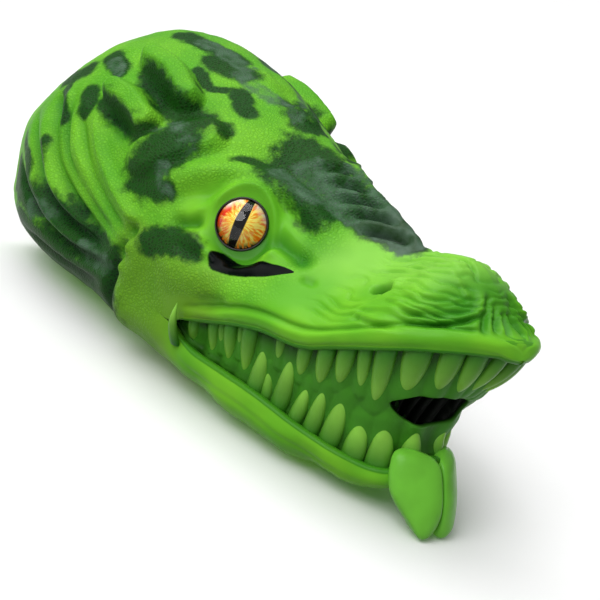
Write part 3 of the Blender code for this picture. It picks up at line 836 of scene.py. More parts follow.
NO_PAINT = -0.5
DARK_PATCHES = (  # (line, radius) of each patch
    (((25, 36, 66), (37, 34, 67)), 2.4),
    (((23, 38, 64), (33, 38, 63), (42, 37, 62)), 3.6),
    (((28, 27, 77), (42, 26, 76)), 2.4),
    (((27, 29, 75), (36, 30, 73), (44, 30, 71)), 3.9),
    (((52, 39, 54), (53, 35, 61), (52, 30, 68)), 6.2),
    (((53, 27, 71), (58, 25, 70)), 3.4),
    (((52, 41, 50), (61, 39, 52)), 2.8),
    (((6, 30, 74), (15, 32, 72)), 2.6),
    (((13, 39, 63), (16, 40, 59)), 2.4),
    (((-12, 33, 66), (-5, 35, 62), (2, 34, 68)), 2.6),
    (((0, 39, 60), (9, 43, 53)), 1.8),
    (((7, 44, 44), (11, 44, 36)), 1.8),
    (((-12, 38, 27), (3, 42, 25), (17, 43, 28), (32, 43, 28)), 4.4),
    (((23, 43, 27), (40, 42, 27), (51, 42, 26)), 3.4),
    (((30, 42, 22), (41, 42, 23), (51, 41, 23)), 3.6),
    (((-10, 38, 40), (0, 43, 34), (1, 42, 26)), 2.0),
    (((13, 12, 87), (26, 10, 87), (35, 7, 87)), 3.2),
    (((34, 14, 85), (42, 9, 85)), 3.7),
    (((35, 20, 81), (41, 21, 79)), 1.6),
    (((50, 15, 80), (56, 16, 77)), 2.6),
    (((43, 21, 79), (46, 18, 80)), 1.2),
    (((69, 29, 61), (70, 24, 65), (74, 20, 67), (80, 16, 67)), 2.1),
    (((78, 19, 66), (86, 16, 65), (97, 15, 62)), 4.4),
    (((76, 9, 72), (84, 8, 72), (92, 7, 70), (104, 4, 68), (112, 1, 68)), 6.0),
    (((96, 10, 66), (109, 6, 65), (120, 1, 66)), 3.7),
    (((66, 42, 38), (72, 41, 41), (79, 39, 42)), 3.2),
    (((0, 36, 13), (18, 38, 12), (36, 38, 12), (50, 39, 14)), 7.0),
    (((58, 3, 80), (68, 2, 78)), 3.2),
)
GREY_PATCHES = (
    (((48, 34, 65), (52, 32, 66), (57, 32, 63)), 3.0),
    (((56, 38, 56), (61, 38, 52)), 2.2),
    (((9, 31, 73), (15, 33, 72)), 1.9),
    (((6, 42, 23), (18, 43, 25)), 2.9),
    (((38, 42, 23), (49, 41, 23)), 2.6),
    (((21, 10, 88), (39, 7, 86)), 2.8),
    (((42, 10, 84), (52, 8, 82), (58, 4, 80), (64, 3, 79)), 2.4),
    (((80, 18, 66), (92, 15, 64)), 3.2),
    (((84, 10, 70), (98, 8, 67), (110, 4, 66), (119, 2, 66)), 4.6),
    (((90, 1, 72), (100, 0, 70), (112, 0, 68)), 3.6),
)
BLACK_PATCH = ((88.5, 36, 44.5), (94, 34.5, 45), (100, 31, 46.5), (106.5, 27, 49))
BLACK_RADIUS = 3.7


def patch(points, line, radius):
    """How far inside a patch of paint each point is: 0.5 at its edge."""
    line = path(line, 5)
    out = np.full(len(points), NO_PAINT)
    close = near(points, line, radius * 3)
    d, _ = distance(points[close], line)
    out[close] = np.maximum(1 - d / (2 * radius), NO_PAINT)
    return out


def paint(thing, points, part, shown):
    """Stores where the paint, the scales and the painted light on the top of the snout are, on the shown side
    only.
    """
    p = points * (1, 0, 1) + np.abs(points) * (0, 1, 0)
    dark = np.max([patch(p, line, r) for line, r in DARK_PATCHES], 0)
    grey = np.max([patch(p, line, r) for line, r in GREY_PATCHES], 0)
    line = path(BLACK_PATCH, 5)
    d, t = distance(p, line)
    radius = BLACK_RADIUS * np.sqrt(np.maximum(1.02 - t, 0)) ** 1.1 + 0.01
    black = np.clip(1 - d / (2 * radius), 0, 1)
    along, up, out_by = eye_terms(p)
    eye_hollow = smooth((1.25 - np.hypot(along / 17, up / 10)) / 0.3) * (np.abs(out_by) < 16)
    edge_z = lips(p[:, 0])[0]
    lip = smooth((edge_z + 9 - p[:, 2]) / 3) * smooth((p[:, 0] - 72) / 8)
    snout = smooth((p[:, 0] - 101) / 12)
    scaly = (1 - snout) * (1 - eye_hollow) * (1 - lip) * (1 - 0.4 * smooth((20 - p[:, 2]) / 6))
    olive = smooth((p[:, 0] - 48) / 10) * smooth((98 - p[:, 0]) / 8) * smooth((44 - p[:, 2]) / 5)
    # painted light: the top of the snout is painted paler, where light falls from above
    pale = snout * smooth((p[:, 2] - edge_z - 14) / 10) * 0.5
    if part:
        scaly = scaly * smooth((84 - p[:, 0]) / 14)
        pale = 0 * pale
        olive = olive * smooth((86 - p[:, 0]) / 10)
    scaly = scaly * (1 - smooth(2 * black - 0.2))
    layers = {"dark": dark, "grey": grey, "black": black, "scaly": scaly, "olive": olive, "pale": pale}
    for name, amount in layers.items():
        add_value(thing, name, np.where(shown, amount, NO_PAINT if name in ("dark", "grey") else 0.0))


# ------------------------------------------------------------------ the two skins


def carve(skin):
    """Sculpts one skin, and sinks its inner side wherever a groove would come through."""
    skin["carved"] = skin["outer"] + skin["normal"] * skin["relief"][..., None]
    skin["carved"][..., 2] = np.maximum(skin["carved"][..., 2], LOWEST_Z)
    skin["shading"] = grid_normals(skin["carved"], away_from_axis)
    under = slice(INNER_RATIO, -INNER_RATIO, INNER_RATIO)
    sunk = lowest_near(np.minimum(skin["relief"], 0), INNER_RATIO)[:, under]
    skin["inner"] = skin["inner"] + skin["normal"][:, under] * sunk[..., None]


def add_painted_shade(thing, skin, rings, shown):
    """Stores how much painted shade each point takes: in the grooves, under the lips and on the inner side.
    """
    outer_end = LIP_COLUMNS + skin["carved"].shape[1]
    painted_shade = np.where(shown, 0.0, 0.55)
    painted_shade[:, LIP_COLUMNS:outer_end] = np.clip(-skin["relief"] / 3.6, 0, 0.75)
    beyond = smooth((rings[..., 0] - CORNER[0]) / 8)
    for columns in (slice(0, LIP_COLUMNS), slice(outer_end, outer_end + LIP_COLUMNS)):
        painted_shade[:, columns] = 0.7 * beyond[:, columns]
    add_value(thing, "painted_shade", painted_shade.reshape(-1))


def shade_seam(thing, skin, rings):
    """Gives both skins the same shading along their seam, outside and inside, so that it does not show."""
    outer_end = LIP_COLUMNS + skin["carved"].shape[1]
    normals = np.array([v.vector for v in thing.data.vertex_normals], float)
    behind = int(np.sum(skin["x"] <= CORNER[0] - 1))
    numbers = np.arange(rings[..., 0].size).reshape(rings.shape[:2])
    for column, side, way in ((LIP_COLUMNS, 0, 1), (outer_end - 1, -1, 1),
                              (0, 0, -1), (outer_end + LIP_COLUMNS - 1, -1, -1)):
        normals[numbers[:behind, column]] = way * unit(skin["shading"][:behind, side])
    thing.data.normals_split_custom_set_from_vertices(normals.tolist())


def dressed_skin(skin):
    """The object of one skin, painted and shaded."""
    thing, rings = finish_skin(skin)
    turn_out(thing)
    shown = np.zeros(rings.shape[:2], bool)
    shown[:, :skin["carved"].shape[1] + 2 * LIP_COLUMNS] = True
    paint(thing, rings.reshape(-1, 3), skin["part"], shown.reshape(-1))
    add_painted_shade(thing, skin, rings, shown)
    shade_seam(thing, skin, rings)
    return thing


def build_skins():
    """The head with its neck, and the jaw with the throat: one outline behind the mouth's corner."""
    rubber = skin_material()
    head = plain_skin("head", 0, stations(half_width, SNOUT_TIP_X), 1, rubber)
    jaw = plain_skin("jaw", 1, stations(raw_edges[3], JAW_TIP_X), -1, rubber)
    share_seam(head, jaw, "outer")
    share_seam(head, jaw, "normal")
    for skin in (head, jaw):
        skin["normal"] = unit(skin["normal"])
        skin["relief"] = relief(skin["outer"], skin["part"])
    share_seam(head, jaw, "relief")
    carve(head)
    carve(jaw)
    share_seam(head, jaw, "shading")
    level_inner_seam(head, jaw)
    head_thing, jaw_thing = dressed_skin(head), dressed_skin(jaw)
    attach(head_thing, "head")
    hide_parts("head_skin", "neck_sleeve")
    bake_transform(jaw_thing)
    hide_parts("jaw_skin", "throat_skin")


# ------------------------------------------------------------------ the mouth

MOUTH_START_X = 78.0
LINING_DEPTH = 4.2
LINING_STEP = 0.5
LINING_ROWS = 110
LINING_OVERLAP = 3.5  # how far the lining goes on behind each lip
LINING_WALL = 1.2
HOLE_HEIGHT = 31.9  # of its middle
HOLE_SIDE = -3.6  # of its middle, a little to the right
HOLE_HALF = (12.2, 5.6)  # its half width and half height
HOLE_FROM_X = 130  # it is cut only from the front of the mouth's wall, in front of this

# Teeth of one side: (root and tip, both in millimetres along the upper lip, length, half width)
UPPER_TEETH = ((8, 8, 8, 1.7), (15.5, 16, 10.5, 1.6), (18.5, 19, 8, 1.2), (22, 22, 12, 1.9),
               (25.5, 25.5, 9, 1.1), (29, 28, 15, 2.2), (39.5, 39, 8, 1.4), (47.5, 46.5, 9.5, 1.9),
               (54, 53, 11.5, 2.2), (60, 59.5, 11.5, 2.3), (65, 67, 13, 1.8), (70.5, 73, 18, 2.5),
               (78.5, 80.5, 14.5, 3.3), (87, 89, 14, 2.8), (93, 96, 15.5, 2.5), (99, 100, 15, 1.9))
LOWER_TEETH = ((33, 34.5, 14, 2.4), (37, 36.5, 9.5, 1.5), (41.5, 44, 17.5, 2.4), (47.5, 50, 12, 2),
               (53.5, 55.5, 14.5, 2.2), (61.5, 62.5, 15, 2.7), (73.5, 71.5, 11.5, 2.9),
               (84.5, 79.5, 13.5, 3.1), (96.5, 91, 11.5, 2.5))
CORNER_TOOTH = ((82.5, 35.5, 15), (83, 38, 19), (83.5, 40, 23), (83.5, 40.8, 28))  # the line it lies on
CORNER_TOOTH_HALF_WIDTH = 1.3
TOOTH_RINGS = 22
TOOTH_SIDES = 24
TOOTH_SUNK = 2.2  # how far a tooth starts behind its lip
TOOTH_WIDENING = 1.13  # of all the half widths above
TOOTH_THICKEST = 2.3
TOOTH_BEHIND = 0.2  # how thick its far side is against its near side, so that the hole does not show it
TOOTH_OUTLINES = ((0.44, 0.54, 0.7), (0.38, 0.6, 0.8))  # start, span and power for the upper and the lower


def rail(part, depth):
    """(points, distances along) of a line behind a lip, from the mouth's corner to the middle."""
    tip = (SNOUT_TIP_X, JAW_TIP_X)[part]
    x = MOUTH_START_X + (tip - MOUTH_START_X) * (1 - (1 - np.linspace(0, 1, 2000)) ** 2)
    edges = lips(x)
    z, y = edges[2 * part], edges[2 * part + 1]
    slope = np.gradient(y, x)
    inward = np.stack((slope, -np.ones_like(x)), 1) / np.hypot(slope, 1)[:, None]
    points = np.stack((x + inward[:, 0] * depth, y + inward[:, 1] * depth, z), 1)
    points = points[points[:, 1] > 0.2]
    points = np.concatenate((points, points[-1:] * (1, 0, 1)))
    length = np.linalg.norm(np.diff(points, axis=0), axis=1)
    return points, np.concatenate(([0], np.cumsum(length)))


def pick(points, along, at):
    """The places on a line at these distances along it."""
    return np.stack([np.interp(at, along, points[:, k]) for k in range(points.shape[1])], -1)


class Lining:
    """The wall of the mouth: columns by distance along the upper lip, rows from that lip to the lower."""

    def __init__(self):
        upper, upper_along = rail(0, LINING_DEPTH)
        lower, lower_along = rail(1, LINING_DEPTH)
        long, short = upper_along[-1], lower_along[-1]
        self.columns = np.linspace(0, long, round(long / LINING_STEP))
        matching = self.columns - (long - short) * smooth((self.columns - 45) / (long - 45))
        above = pick(upper, upper_along, self.columns)
        below = pick(lower, lower_along, matching)
        self.height = np.linalg.norm(above - below, axis=1)
        share = LINING_OVERLAP / self.height
        rows = np.linspace(0, 1, LINING_ROWS)[None, :]
        v = -share[:, None] + rows * (1 + 2 * share[:, None])
        flat = above[:, None] * (1 - v[..., None]) + below[:, None] * v[..., None]
        inside = np.clip(v, 0, 1)
        fold = inside ** 2 * (1 - inside) ** 0.8 / (0.714 ** 2 * 0.286 ** 0.8)
        amount = 0.9 + 3.7 * smooth((self.columns / long - 0.74) / 0.26)
        plan = np.gradient((above + below) / 2, axis=0)
        inward = unit(np.stack((plan[:, 1], -plan[:, 0], 0 * plan[:, 0]), 1))
        inward[-1] = (-1, 0, 0)
        self.grid = flat + inward[:, None] * (fold * amount[:, None])[..., None]
        self.least_y = 0.13 * np.arange(len(self.columns) - 1, -1, -1)[:, None]
        self.grid[..., 1] = np.maximum(self.grid[..., 1], self.least_y)
        self.grid[-1, :, 1] = 0
        self.v = v
        self.normal = -grid_normals(self.grid, lambda g: np.broadcast_to(inward[:, None], g.shape))
        self.normal[-1] = unit(self.normal[-4] * (1, 0, 1))

    def at(self, column, v):
        """(point, outward direction) on the wall at a column in millimetres and a share of the height."""
        i = np.clip(column / self.columns[-1] * (len(self.columns) - 1), 0, len(self.columns) - 1.001)
        share = np.interp(column, self.columns, LINING_OVERLAP / self.height)
        j = np.clip((v + share) / (1 + 2 * share) * (LINING_ROWS - 1), 0, LINING_ROWS - 1.001)
        out = []
        for grid in (self.grid, self.normal):
            a, b = int(i), int(j)
            s, t = i - a, j - b
            out.append((grid[a, b] * (1 - s) + grid[a + 1, b] * s) * (1 - t)
                       + (grid[a, b + 1] * (1 - s) + grid[a + 1, b + 1] * s) * t)
        return out[0], out[1]


def tooth_axis(lining, root, tip, length, part):
    """Points along the middle of a tooth, on the wall of the mouth, with their outward directions."""
    height = float(np.interp(root, lining.columns, lining.height))
    points, ways = [], []
    for t in np.linspace(0, 1, TOOTH_RINGS):
        reach = -TOOTH_SUNK + (length + TOOTH_SUNK) * t
        v = reach / height if part == 0 else 1 - reach / height
        point, way = lining.at(root + (tip - root) * max(reach, 0) / length, v)
        points.append(point)
        ways.append(way)
    return np.array(points), np.array(ways)


def tooth_rings(points, ways, half_width, part, behind=TOOTH_BEHIND):
    """(its rings, the line it lies on) of a rounded finger that stands in relief on the mouth's wall."""
    t = np.linspace(0, 1, TOOTH_RINGS)
    ease = 1 - (1 - t) ** 1.6
    points = np.stack([np.interp(ease, t, points[:, k]) for k in range(3)], 1)
    ways = unit(np.stack([np.interp(ease, t, ways[:, k]) for k in range(3)], 1))
    half_width *= TOOTH_WIDENING
    thick = min(half_width, TOOTH_THICKEST)
    start, span, power = TOOTH_OUTLINES[part]
    size = np.sin(math.pi * (start + span * ease)) ** power * np.sqrt(np.clip(1 - ease ** 9, 0, 1))
    tangent = unit(np.gradient(points, axis=0))
    side = unit(np.cross(tangent, ways))
    angle = turns(TOOTH_SIDES)[0]
    proud = thick * 0.42 * (0.55 + 0.45 * np.sin(math.pi * ease))
    centre = points + ways * proud[:, None]
    out = np.sin(angle) * np.where(np.sin(angle) < 0, behind, 1.0)
    around = (side[:, None] * np.cos(angle)[None, :, None] * half_width
              + ways[:, None] * out[None, :, None] * thick)
    return centre[:, None] + around * size[:, None, None], points


def tooth_row(name, rings, side, rubber):
    """The object of a row of teeth, from the rings of each. It is shaded towards the roots."""
    points = np.concatenate([(ring * (1, side, 1)).reshape(-1, 3) for ring in rings])
    faces = []
    for i in range(len(rings)):
        faces += closed_loft(TOOTH_RINGS, TOOTH_SIDES, i * TOOTH_RINGS * TOOTH_SIDES)
    # painted shade: each tooth is painted darker towards its root
    deep = np.clip(1.0 - 1.8 * np.linspace(0, 1, TOOTH_RINGS), 0, 1)
    thing = make_object(name, points, faces, rubber)
    add_value(thing, "painted_shade", np.tile(np.repeat(deep, TOOTH_SIDES), len(rings)))
    turn_out(thing)
    return thing


def build_teeth(lining):
    """A row of teeth on each side of each jaw. Returns (its middle line, half width) of each tooth at +y."""
    rubber = mouth_material("tooth_rubber", linear(142, 208, 74), linear(26, 108, 18), 0.36)
    axes = []
    for part, row, teeth, body in ((0, "upper", UPPER_TEETH, "head"), (1, "lower", LOWER_TEETH, "jaw")):
        rings = []
        for root, tip, length, half_width in teeth:
            points, ways = tooth_axis(lining, root, tip, length, part)
            ring, axis = tooth_rings(points, ways, half_width, part)
            rings.append(ring)
            axes.append((axis, half_width))
        if part:
            points = evenly(path(CORNER_TOOTH)[None], TOOTH_RINGS)[0]
            ways = np.tile((0.1, 1.0, 0.0), (TOOTH_RINGS, 1))
            rings.append(tooth_rings(points, ways, CORNER_TOOTH_HALF_WIDTH, part, behind=1.0)[0])
        for side, name in ((1, "left"), (-1, "right")):
            piece = f"{row}_teeth_{name}"
            thing = tooth_row(f"{row}_teeth_{name}_rubber", rings, side, rubber)
            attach(thing, body)
            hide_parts(piece)
    return axes


def turn_out(thing):
    """Makes every closed body of a mesh face outwards."""
    shape = bmesh.new()
    shape.from_mesh(thing.data)
    bmesh.ops.recalc_face_normals(shape, faces=shape.faces)
    shape.to_mesh(thing.data)
    shape.free()


def drop_loose(thing):
    """Removes the points of a mesh that no face uses."""
    shape = bmesh.new()
    shape.from_mesh(thing.data)
    bmesh.ops.delete(shape, geom=[p for p in shape.verts if not p.link_faces], context="VERTS")
    shape.to_mesh(thing.data)
    shape.free()


def rim_edges(points, faces):
    """The edges of a sheet of quads that only one face uses."""
    count = len(points)
    edges = np.concatenate([faces[:, [k, (k + 1) % 4]] for k in range(4)])
    forward = edges[:, 0] * count + edges[:, 1]
    backward = edges[:, 1] * count + edges[:, 0]
    return edges[~np.isin(forward, backward)]


def smooth_rim(points, faces, chosen):
    """Evens out the chosen part of a sheet's edge."""
    edges = rim_edges(points, faces)
    edges = edges[chosen[edges].all(1)]
    moved = points.copy()
    for _ in range(6):
        total, count = np.zeros_like(moved), np.zeros(len(moved))
        for a, b in ((0, 1), (1, 0)):
            np.add.at(total, edges[:, a], moved[edges[:, b]])
            np.add.at(count, edges[:, a], 1)
        both = count == 2
        moved[both] = moved[both] / 2 + total[both] / 4
    return moved


def thickened(points, outward, faces, wall):
    """A closed wall from a sheet of quads: (points, faces)."""
    count = len(points)
    rim = rim_edges(points, faces)
    sides = np.stack((rim[:, 1], rim[:, 0], rim[:, 0] + count, rim[:, 1] + count), 1)
    whole = np.concatenate((faces, faces[:, ::-1] + count, sides))
    return np.concatenate((points, points - outward * wall)), whole


def cut_hole(whole):
    """(points, faces) of the mouth's wall without its hole, whose rim is drawn to an even outline."""
    rows, columns = whole.shape[:2]
    sideways = (whole[..., 1] - HOLE_SIDE) / HOLE_HALF[0]
    upwards = (whole[..., 2] - HOLE_HEIGHT) / HOLE_HALF[1]
    far = np.where(whole[..., 0] < HOLE_FROM_X, np.inf, np.hypot(sideways, upwards))
    faces = strip_faces(rows, columns)
    faces = faces[far.reshape(-1)[faces].mean(1) > 1.0]
    rim = np.zeros(rows * columns, bool)
    rim[rim_edges(whole.reshape(-1, 3), faces)] = True
    rim = rim.reshape(rows, columns) & (far < 1.6)
    snapped = whole.copy()
    by_row, by_column = np.gradient(whole, axis=0), np.gradient(whole, axis=1)
    for i, j in zip(*np.nonzero(rim)):
        wanted = (whole[i, j, 1:] - (HOLE_SIDE, HOLE_HEIGHT)) * (1 / far[i, j] - 1)
        steps = np.linalg.solve(np.stack((by_row[i, j, 1:], by_column[i, j, 1:]), 1), wanted)
        steps = np.clip(steps, -1.5, 1.5)
        snapped[i, j] += by_row[i, j] * steps[0] + by_column[i, j] * steps[1]
    return smooth_rim(snapped.reshape(-1, 3), faces, rim.reshape(-1)), faces


def both_sides(half, flip=1):
    """The rows of one side, which end at the middle, followed by those of the other side."""
    return np.concatenate((half, half[-2::-1] * flip))


def build_lining(lining, axes):
    """The wall of the mouth, which swells round the roots of the teeth, with the hole at its front."""
    flat = lining.grid.reshape(-1, 3)
    raised = np.max([stroke(flat, axis[::3], width + 0.9, 1.5, 0, 2.4) for axis, width in axes], 0)
    raised = raised.reshape(lining.grid.shape[:2])
    carved = lining.grid + lining.normal * raised[..., None]
    carved[..., 1] = np.maximum(carved[..., 1], lining.least_y)
    carved[-1, :, 1] = 0
    # painted shade: darker near the upper lip, a little darker near the lower lip and lighter on the swells
    # round the teeth
    depth = np.clip(1.05 - 2.4 * lining.v, 0.32, 1) + 0.35 * smooth((lining.v - 0.75) / 0.2)
    depth = both_sides(depth - 0.25 * np.clip(raised, 0, 1))
    points, faces = cut_hole(both_sides(carved, (1, -1, 1)))
    outward = both_sides(lining.normal, (1, -1, 1)).reshape(-1, 3)
    points, faces = thickened(points, outward, faces, LINING_WALL)
    rubber = mouth_material("mouth_rubber", linear(70, 146, 34), linear(1, 22, 3), 0.5)
    thing = make_object("mouth_wall", points, faces, rubber)
    # painted shade: the wall's back side is painted fully dark
    add_value(thing, "painted_shade", np.concatenate((depth.reshape(-1), np.ones(depth.size))))
    drop_loose(thing)
    turn_out(thing)
    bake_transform(thing)
    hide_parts("mouth_lining")


def lobe_rings(side, rows, sides):
    """Rings of points of one lobe of the chin, from its top to its foot."""
    t = np.linspace(0, 1, rows)[:, None]
    angle = turns(sides)
    swell = np.sin(math.pi * t)
    closing = np.sqrt(np.clip(1 - (2 * t - 1) ** 10, 0, 1))
    wide = 6.2 + 2.0 * np.sin(math.pi * np.clip(t * 1.1, 0, 1)) - 1.9 * smooth((t - 0.5) / 0.5)
    across = wide * closing * np.sin(angle)
    out = (2.6 + 1.4 * t + 1.2 * swell) * closing * np.cos(angle)
    turned = math.radians(35)
    x = 150.5 + 9.2 * t + out * math.cos(turned) - across * math.sin(turned)
    y = 5.8 - 1.9 * t + out * math.sin(turned) + across * math.cos(turned)
    y = np.where(y < 1.2, 0.15 + 1.05 * np.exp((y - 1.2) / 1.2), y)
    toes = 2.4 * (0.5 + 0.5 * np.sin(angle)) ** 2 + 0.5 * np.sin(3 * angle + side)
    z = np.maximum(20.5 - 20.2 * t + closing * t ** 3 * toes, 0.15)
    points = np.stack((x, side * y, z), 2)
    uneven = 0.25 * noise(points.reshape(-1, 3), 5, 11).reshape(rows, sides, 1)
    return points + uneven * (0.6, 0.2, 0)


def build_chin():
    """The two lobes of the cleft chin."""
    rubber = mouth_material("chin_rubber", linear(116, 200, 60), linear(30, 110, 24), 0.3)
    rows, sides = 40, 48
    for side, name in ((1, "left"), (-1, "right")):
        flat = lobe_rings(side, rows, sides).reshape(-1, 3)
        thing = make_object(f"chin_{name}", flat, closed_loft(rows, sides), rubber)
        turn_out(thing)
        # painted shade: each lobe is painted darker within a millimetre of the middle, where the two lobes
        # meet
        add_value(thing, "painted_shade", np.clip(0.5 - np.abs(flat[:, 1]) / 2, 0, 1))
        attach(thing, "jaw")
        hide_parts("chin_lobe_" + name)


# ------------------------------------------------------------------ the eyes

EYE_SIDES = 96
RIM_SIDES = 15
IRIS_RISE = 2.7
GLASS_RISE = 4.2
PUPIL_HALF_WIDTH = 1.55


def dome_points(radius, rise, rings):
    """A dome over a disc, in millimetres of the eye's own frame, from its middle to its edge."""
    ball = (radius ** 2 + rise ** 2) / (2 * rise)
    reach = np.linspace(0, 1, rings)[:, None] ** 0.8 * radius
    angle = turns(EYE_SIDES)
    up = np.sqrt(ball ** 2 - reach ** 2) - (ball - rise)
    return np.stack((reach * np.cos(angle), reach * np.sin(angle), up + 0 * angle), 2)


def rim_points():
    """The rings of a thin round rim at the edge of an eye, in the eye's own frame."""
    tube = turns(RIM_SIDES).T
    angle = turns(EYE_SIDES)
    radius, height = 7.22 + 0.3 * np.cos(tube), 0.05 + 0.5 * np.sin(tube)
    return np.stack((radius * np.cos(angle), radius * np.sin(angle), height + 0 * angle), 2)


def on_eye(name, side, local, faces, made):
    """An object of an eye from points in the eye's own frame: (towards the snout, up, out)."""
    local = local.reshape(-1, 3)
    points = EYE + local[:, :1] * EYE_ALONG + local[:, 1:2] * EYE_UP + local[:, 2:] * EYE_WAY
    thing = make_object(name, points * (1, side, 1), faces, made, lay=local)
    turn_out(thing)
    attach(thing, "head")
    return thing


def iris_material():
    """Yellow to orange fibres that run out from a black slit, with a painted reflection along the upper edge.
    """
    # the glow stands for the light that the glass dome gathers on the print
    made, nodes, links, shader = material("iris_print", 0.6, Specular_IOR_Level=0.1, Emission_Strength=0.22)
    w = Wiring(nodes, links)
    split = nodes.new("ShaderNodeSeparateXYZ")
    links.new(w.lay(), split.inputs[0])
    along, up = split.outputs[0], split.outputs[1]
    radius = w.math("SQRT", w.plus(w.times(along, along), w.times(up, up)))
    safe = w.math("MAXIMUM", radius, 0.05)
    spokes = nodes.new("ShaderNodeCombineXYZ")
    links.new(w.math("DIVIDE", along, safe), spokes.inputs[0])
    links.new(w.math("DIVIDE", up, safe), spokes.inputs[1])
    links.new(w.times(radius, 0.05), spokes.inputs[2])
    fibres = w.noise(spokes.outputs[0], 11.0, 5.0)
    blotches = w.noise(w.lay(), 0.35, 3.0)
    back = w.step(along, -1.0, -5.0)
    upper_reflection = w.times(w.step(radius, 4.8, 6.6), w.step(up, 1.0, 4.0))
    lower_edge = w.times(w.step(radius, 5.0, 6.8), w.step(up, -1.5, -4.5))
    pupil = w.minus(PUPIL_HALF_WIDTH, w.times(w.times(up, up), 0.014))
    colour = w.mix(w.step(radius, 1.5, 6.6), linear(255, 224, 60), linear(255, 140, 6))
    for mask, tint in (
            (w.step(fibres, 0.42, 0.62), linear(255, 240, 120)),
            (w.times(w.step(fibres, 0.52, 0.36), 0.5), linear(214, 92, 8)),
            (w.times(back, w.step(blotches, 0.40, 0.58)), linear(226, 50, 10)),
            # painted reflection: a near-white glint of the glass dome along the print's upper edge
            (w.times(upper_reflection, w.step(blotches, 0.35, 0.6)), linear(255, 252, 236)),
            (w.times(lower_edge, w.step(fibres, 0.44, 0.56)), linear(34, 22, 8)),
            (w.step(w.minus(w.math("ABSOLUTE", along), pupil), 0.16, -0.10), linear(4, 4, 4)),
            (w.step(radius, 6.55, 6.95), linear(10, 8, 4))):
        colour = w.mix(mask, colour, tint)
    links.new(colour, shader.inputs["Base Color"])
    links.new(colour, shader.inputs["Emission Color"])
    return made


def glass_material():
    """Clear glass that lets the print under it be seen and lit."""
    made = bpy.data.materials.new("clear_glass")
    made.use_nodes = True
    nodes, links = made.node_tree.nodes, made.node_tree.links
    nodes.remove(nodes["Principled BSDF"])
    clear = nodes.new("ShaderNodeBsdfTransparent")
    gloss = nodes.new("ShaderNodeBsdfGlossy")
    gloss.inputs["Roughness"].default_value = 0.03
    edge = nodes.new("ShaderNodeFresnel")
    edge.inputs["IOR"].default_value = 1.5
    mixed = nodes.new("ShaderNodeMixShader")
    links.new(edge.outputs[0], mixed.inputs[0])
    links.new(clear.outputs[0], mixed.inputs[1])
    links.new(gloss.outputs[0], mixed.inputs[2])
    links.new(mixed.outputs[0], nodes["Material Output"].inputs["Surface"])
    return made


def build_eyes():
    """A printed iris under a glass dome, in a black seat, on both sides."""
    printed, glass = iris_material(), glass_material()
    seat_rubber = material("eye_seat", 0.3, Base_Color=linear(6, 8, 6))[0]
    for side, name in ((1, "left"), (-1, "right")):
        for piece, rise, radius, floor, made in (("iris", IRIS_RISE, EYE_RADIUS - 0.15, -0.4, printed),
                                                 ("dome", GLASS_RISE, EYE_RADIUS, -0.1, glass)):
            shape = dome_points(radius, rise, 40)
            shape = np.concatenate((shape, shape[-1:] * (1, 1, 0) + (0, 0, floor)))
            faces = ring_faces(len(shape), EYE_SIDES).tolist()[EYE_SIDES:]
            faces.append(list(range(EYE_SIDES, 2 * EYE_SIDES)))
            faces.append(list(range((len(shape) - 1) * EYE_SIDES, len(shape) * EYE_SIDES))[::-1])
            thing = on_eye(f"eye_{piece}_{name}_clear", side, shape, faces, made)
            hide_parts(f"eye_{piece}_{name}")
        # the last ring is the first again
        faces = ring_faces(RIM_SIDES + 1, EYE_SIDES) % (RIM_SIDES * EYE_SIDES)
        thing = on_eye(f"eye_rim_{name}", side, rim_points(), faces.tolist(), seat_rubber)
        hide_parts(f"eye_seat_{name}")


# ------------------------------------------------------------------ the picture

CAMERA_AT = (339.43, -271.51, 142.83)
CAMERA_AZIMUTH = -47.1255  # degrees, of the way from the model to the camera
CAMERA_ELEVATION = 16.5028
CAMERA_ROLL = 21.133
WHITE = (1.0, 1.0, 1.0, 1.0)
FLOOR_HALF = 60.0  # metres
SURROUND_RADIUS = 8.0  # metres, within what every view can see
# (name, the way to it, strength, its spread in degrees)
LAMPS = (("key", (0.07, -0.73, 0.66), 1.9, 40), ("top", (-0.35, -0.15, 0.92), 1.6, 50))


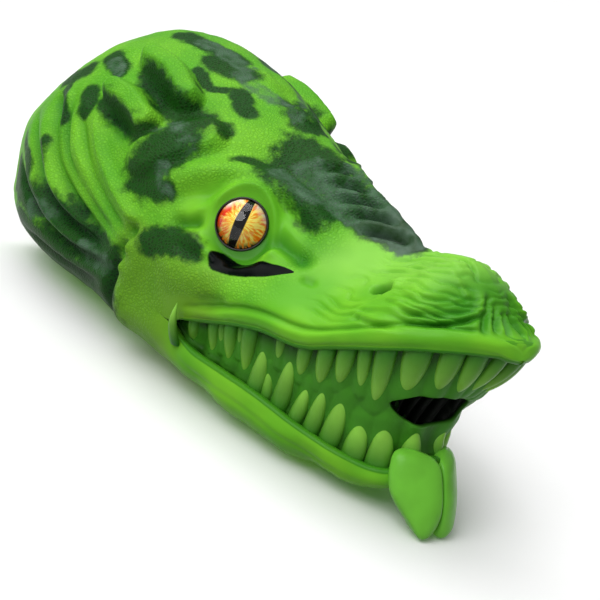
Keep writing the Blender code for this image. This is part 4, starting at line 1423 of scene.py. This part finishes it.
def build_stage():
    """A pale floor, a white surround and two soft lights."""
    mesh = bpy.data.meshes.new("floor")
    corners = [(x * FLOOR_HALF, y * FLOOR_HALF, 0) for x, y in ((-1, -1), (1, -1), (1, 1), (-1, 1))]
    mesh.from_pydata(corners, [], [(0, 1, 2, 3)])
    mesh.materials.append(material("pale_floor", 0.9, Base_Color=(0.95, 0.95, 0.95, 1.0))[0])
    floor = add_object("floor", mesh)
    floor.visible_diffuse = False  # so the pale floor does not light the rubber from below
    build_surround()
    world = bpy.data.worlds.new("surround")
    world.use_nodes = True
    world.node_tree.nodes["Background"].inputs["Color"].default_value = WHITE
    world.node_tree.nodes["Background"].inputs["Strength"].default_value = 0.32
    bpy.context.scene.world = world
    for name, way, strength, spread in LAMPS:
        lamp = bpy.data.lights.new(name, "SUN")
        lamp.energy = strength
        lamp.angle = math.radians(spread)
        thing = add_object(name, lamp)
        thing.rotation_euler = Vector(way).to_track_quat("Z", "Y").to_euler()


def build_surround():
    """A white dome that only the camera sees, so that the horizon is white too."""
    shape = bmesh.new()
    bmesh.ops.create_icosphere(shape, subdivisions=4, radius=SURROUND_RADIUS)
    mesh = bpy.data.meshes.new("surround")
    shape.to_mesh(mesh)
    shape.free()
    mesh.materials.append(material("surround_white", 1.0, Base_Color=(0, 0, 0, 1), Emission_Color=WHITE,
                                   Emission_Strength=1.0)[0])
    dome = add_object("surround", mesh)
    dome.visible_diffuse = dome.visible_glossy = dome.visible_transmission = dome.visible_shadow = False
    return dome


def build_camera():
    """The camera, turned by its azimuth, elevation and roll."""
    lens = bpy.data.cameras.new("camera")
    lens.lens = 80.0
    lens.sensor_width = 36.0
    lens.clip_start = 0.01
    thing = add_object("camera", lens)
    turned = Matrix.Translation(place(CAMERA_AT))
    for degrees, axis in ((CAMERA_AZIMUTH + 90, "Z"), (90 - CAMERA_ELEVATION, "X"), (CAMERA_ROLL, "Z")):
        turned = turned @ Matrix.Rotation(math.radians(degrees), 4, axis)
    thing.matrix_world = turned
    bpy.context.scene.camera = thing
    bpy.context.scene.view_settings.view_transform = "Standard"


build_skins()
mouth = Lining()
build_lining(mouth, build_teeth(mouth))
build_chin()
build_eyes()
build_stage()
build_camera()
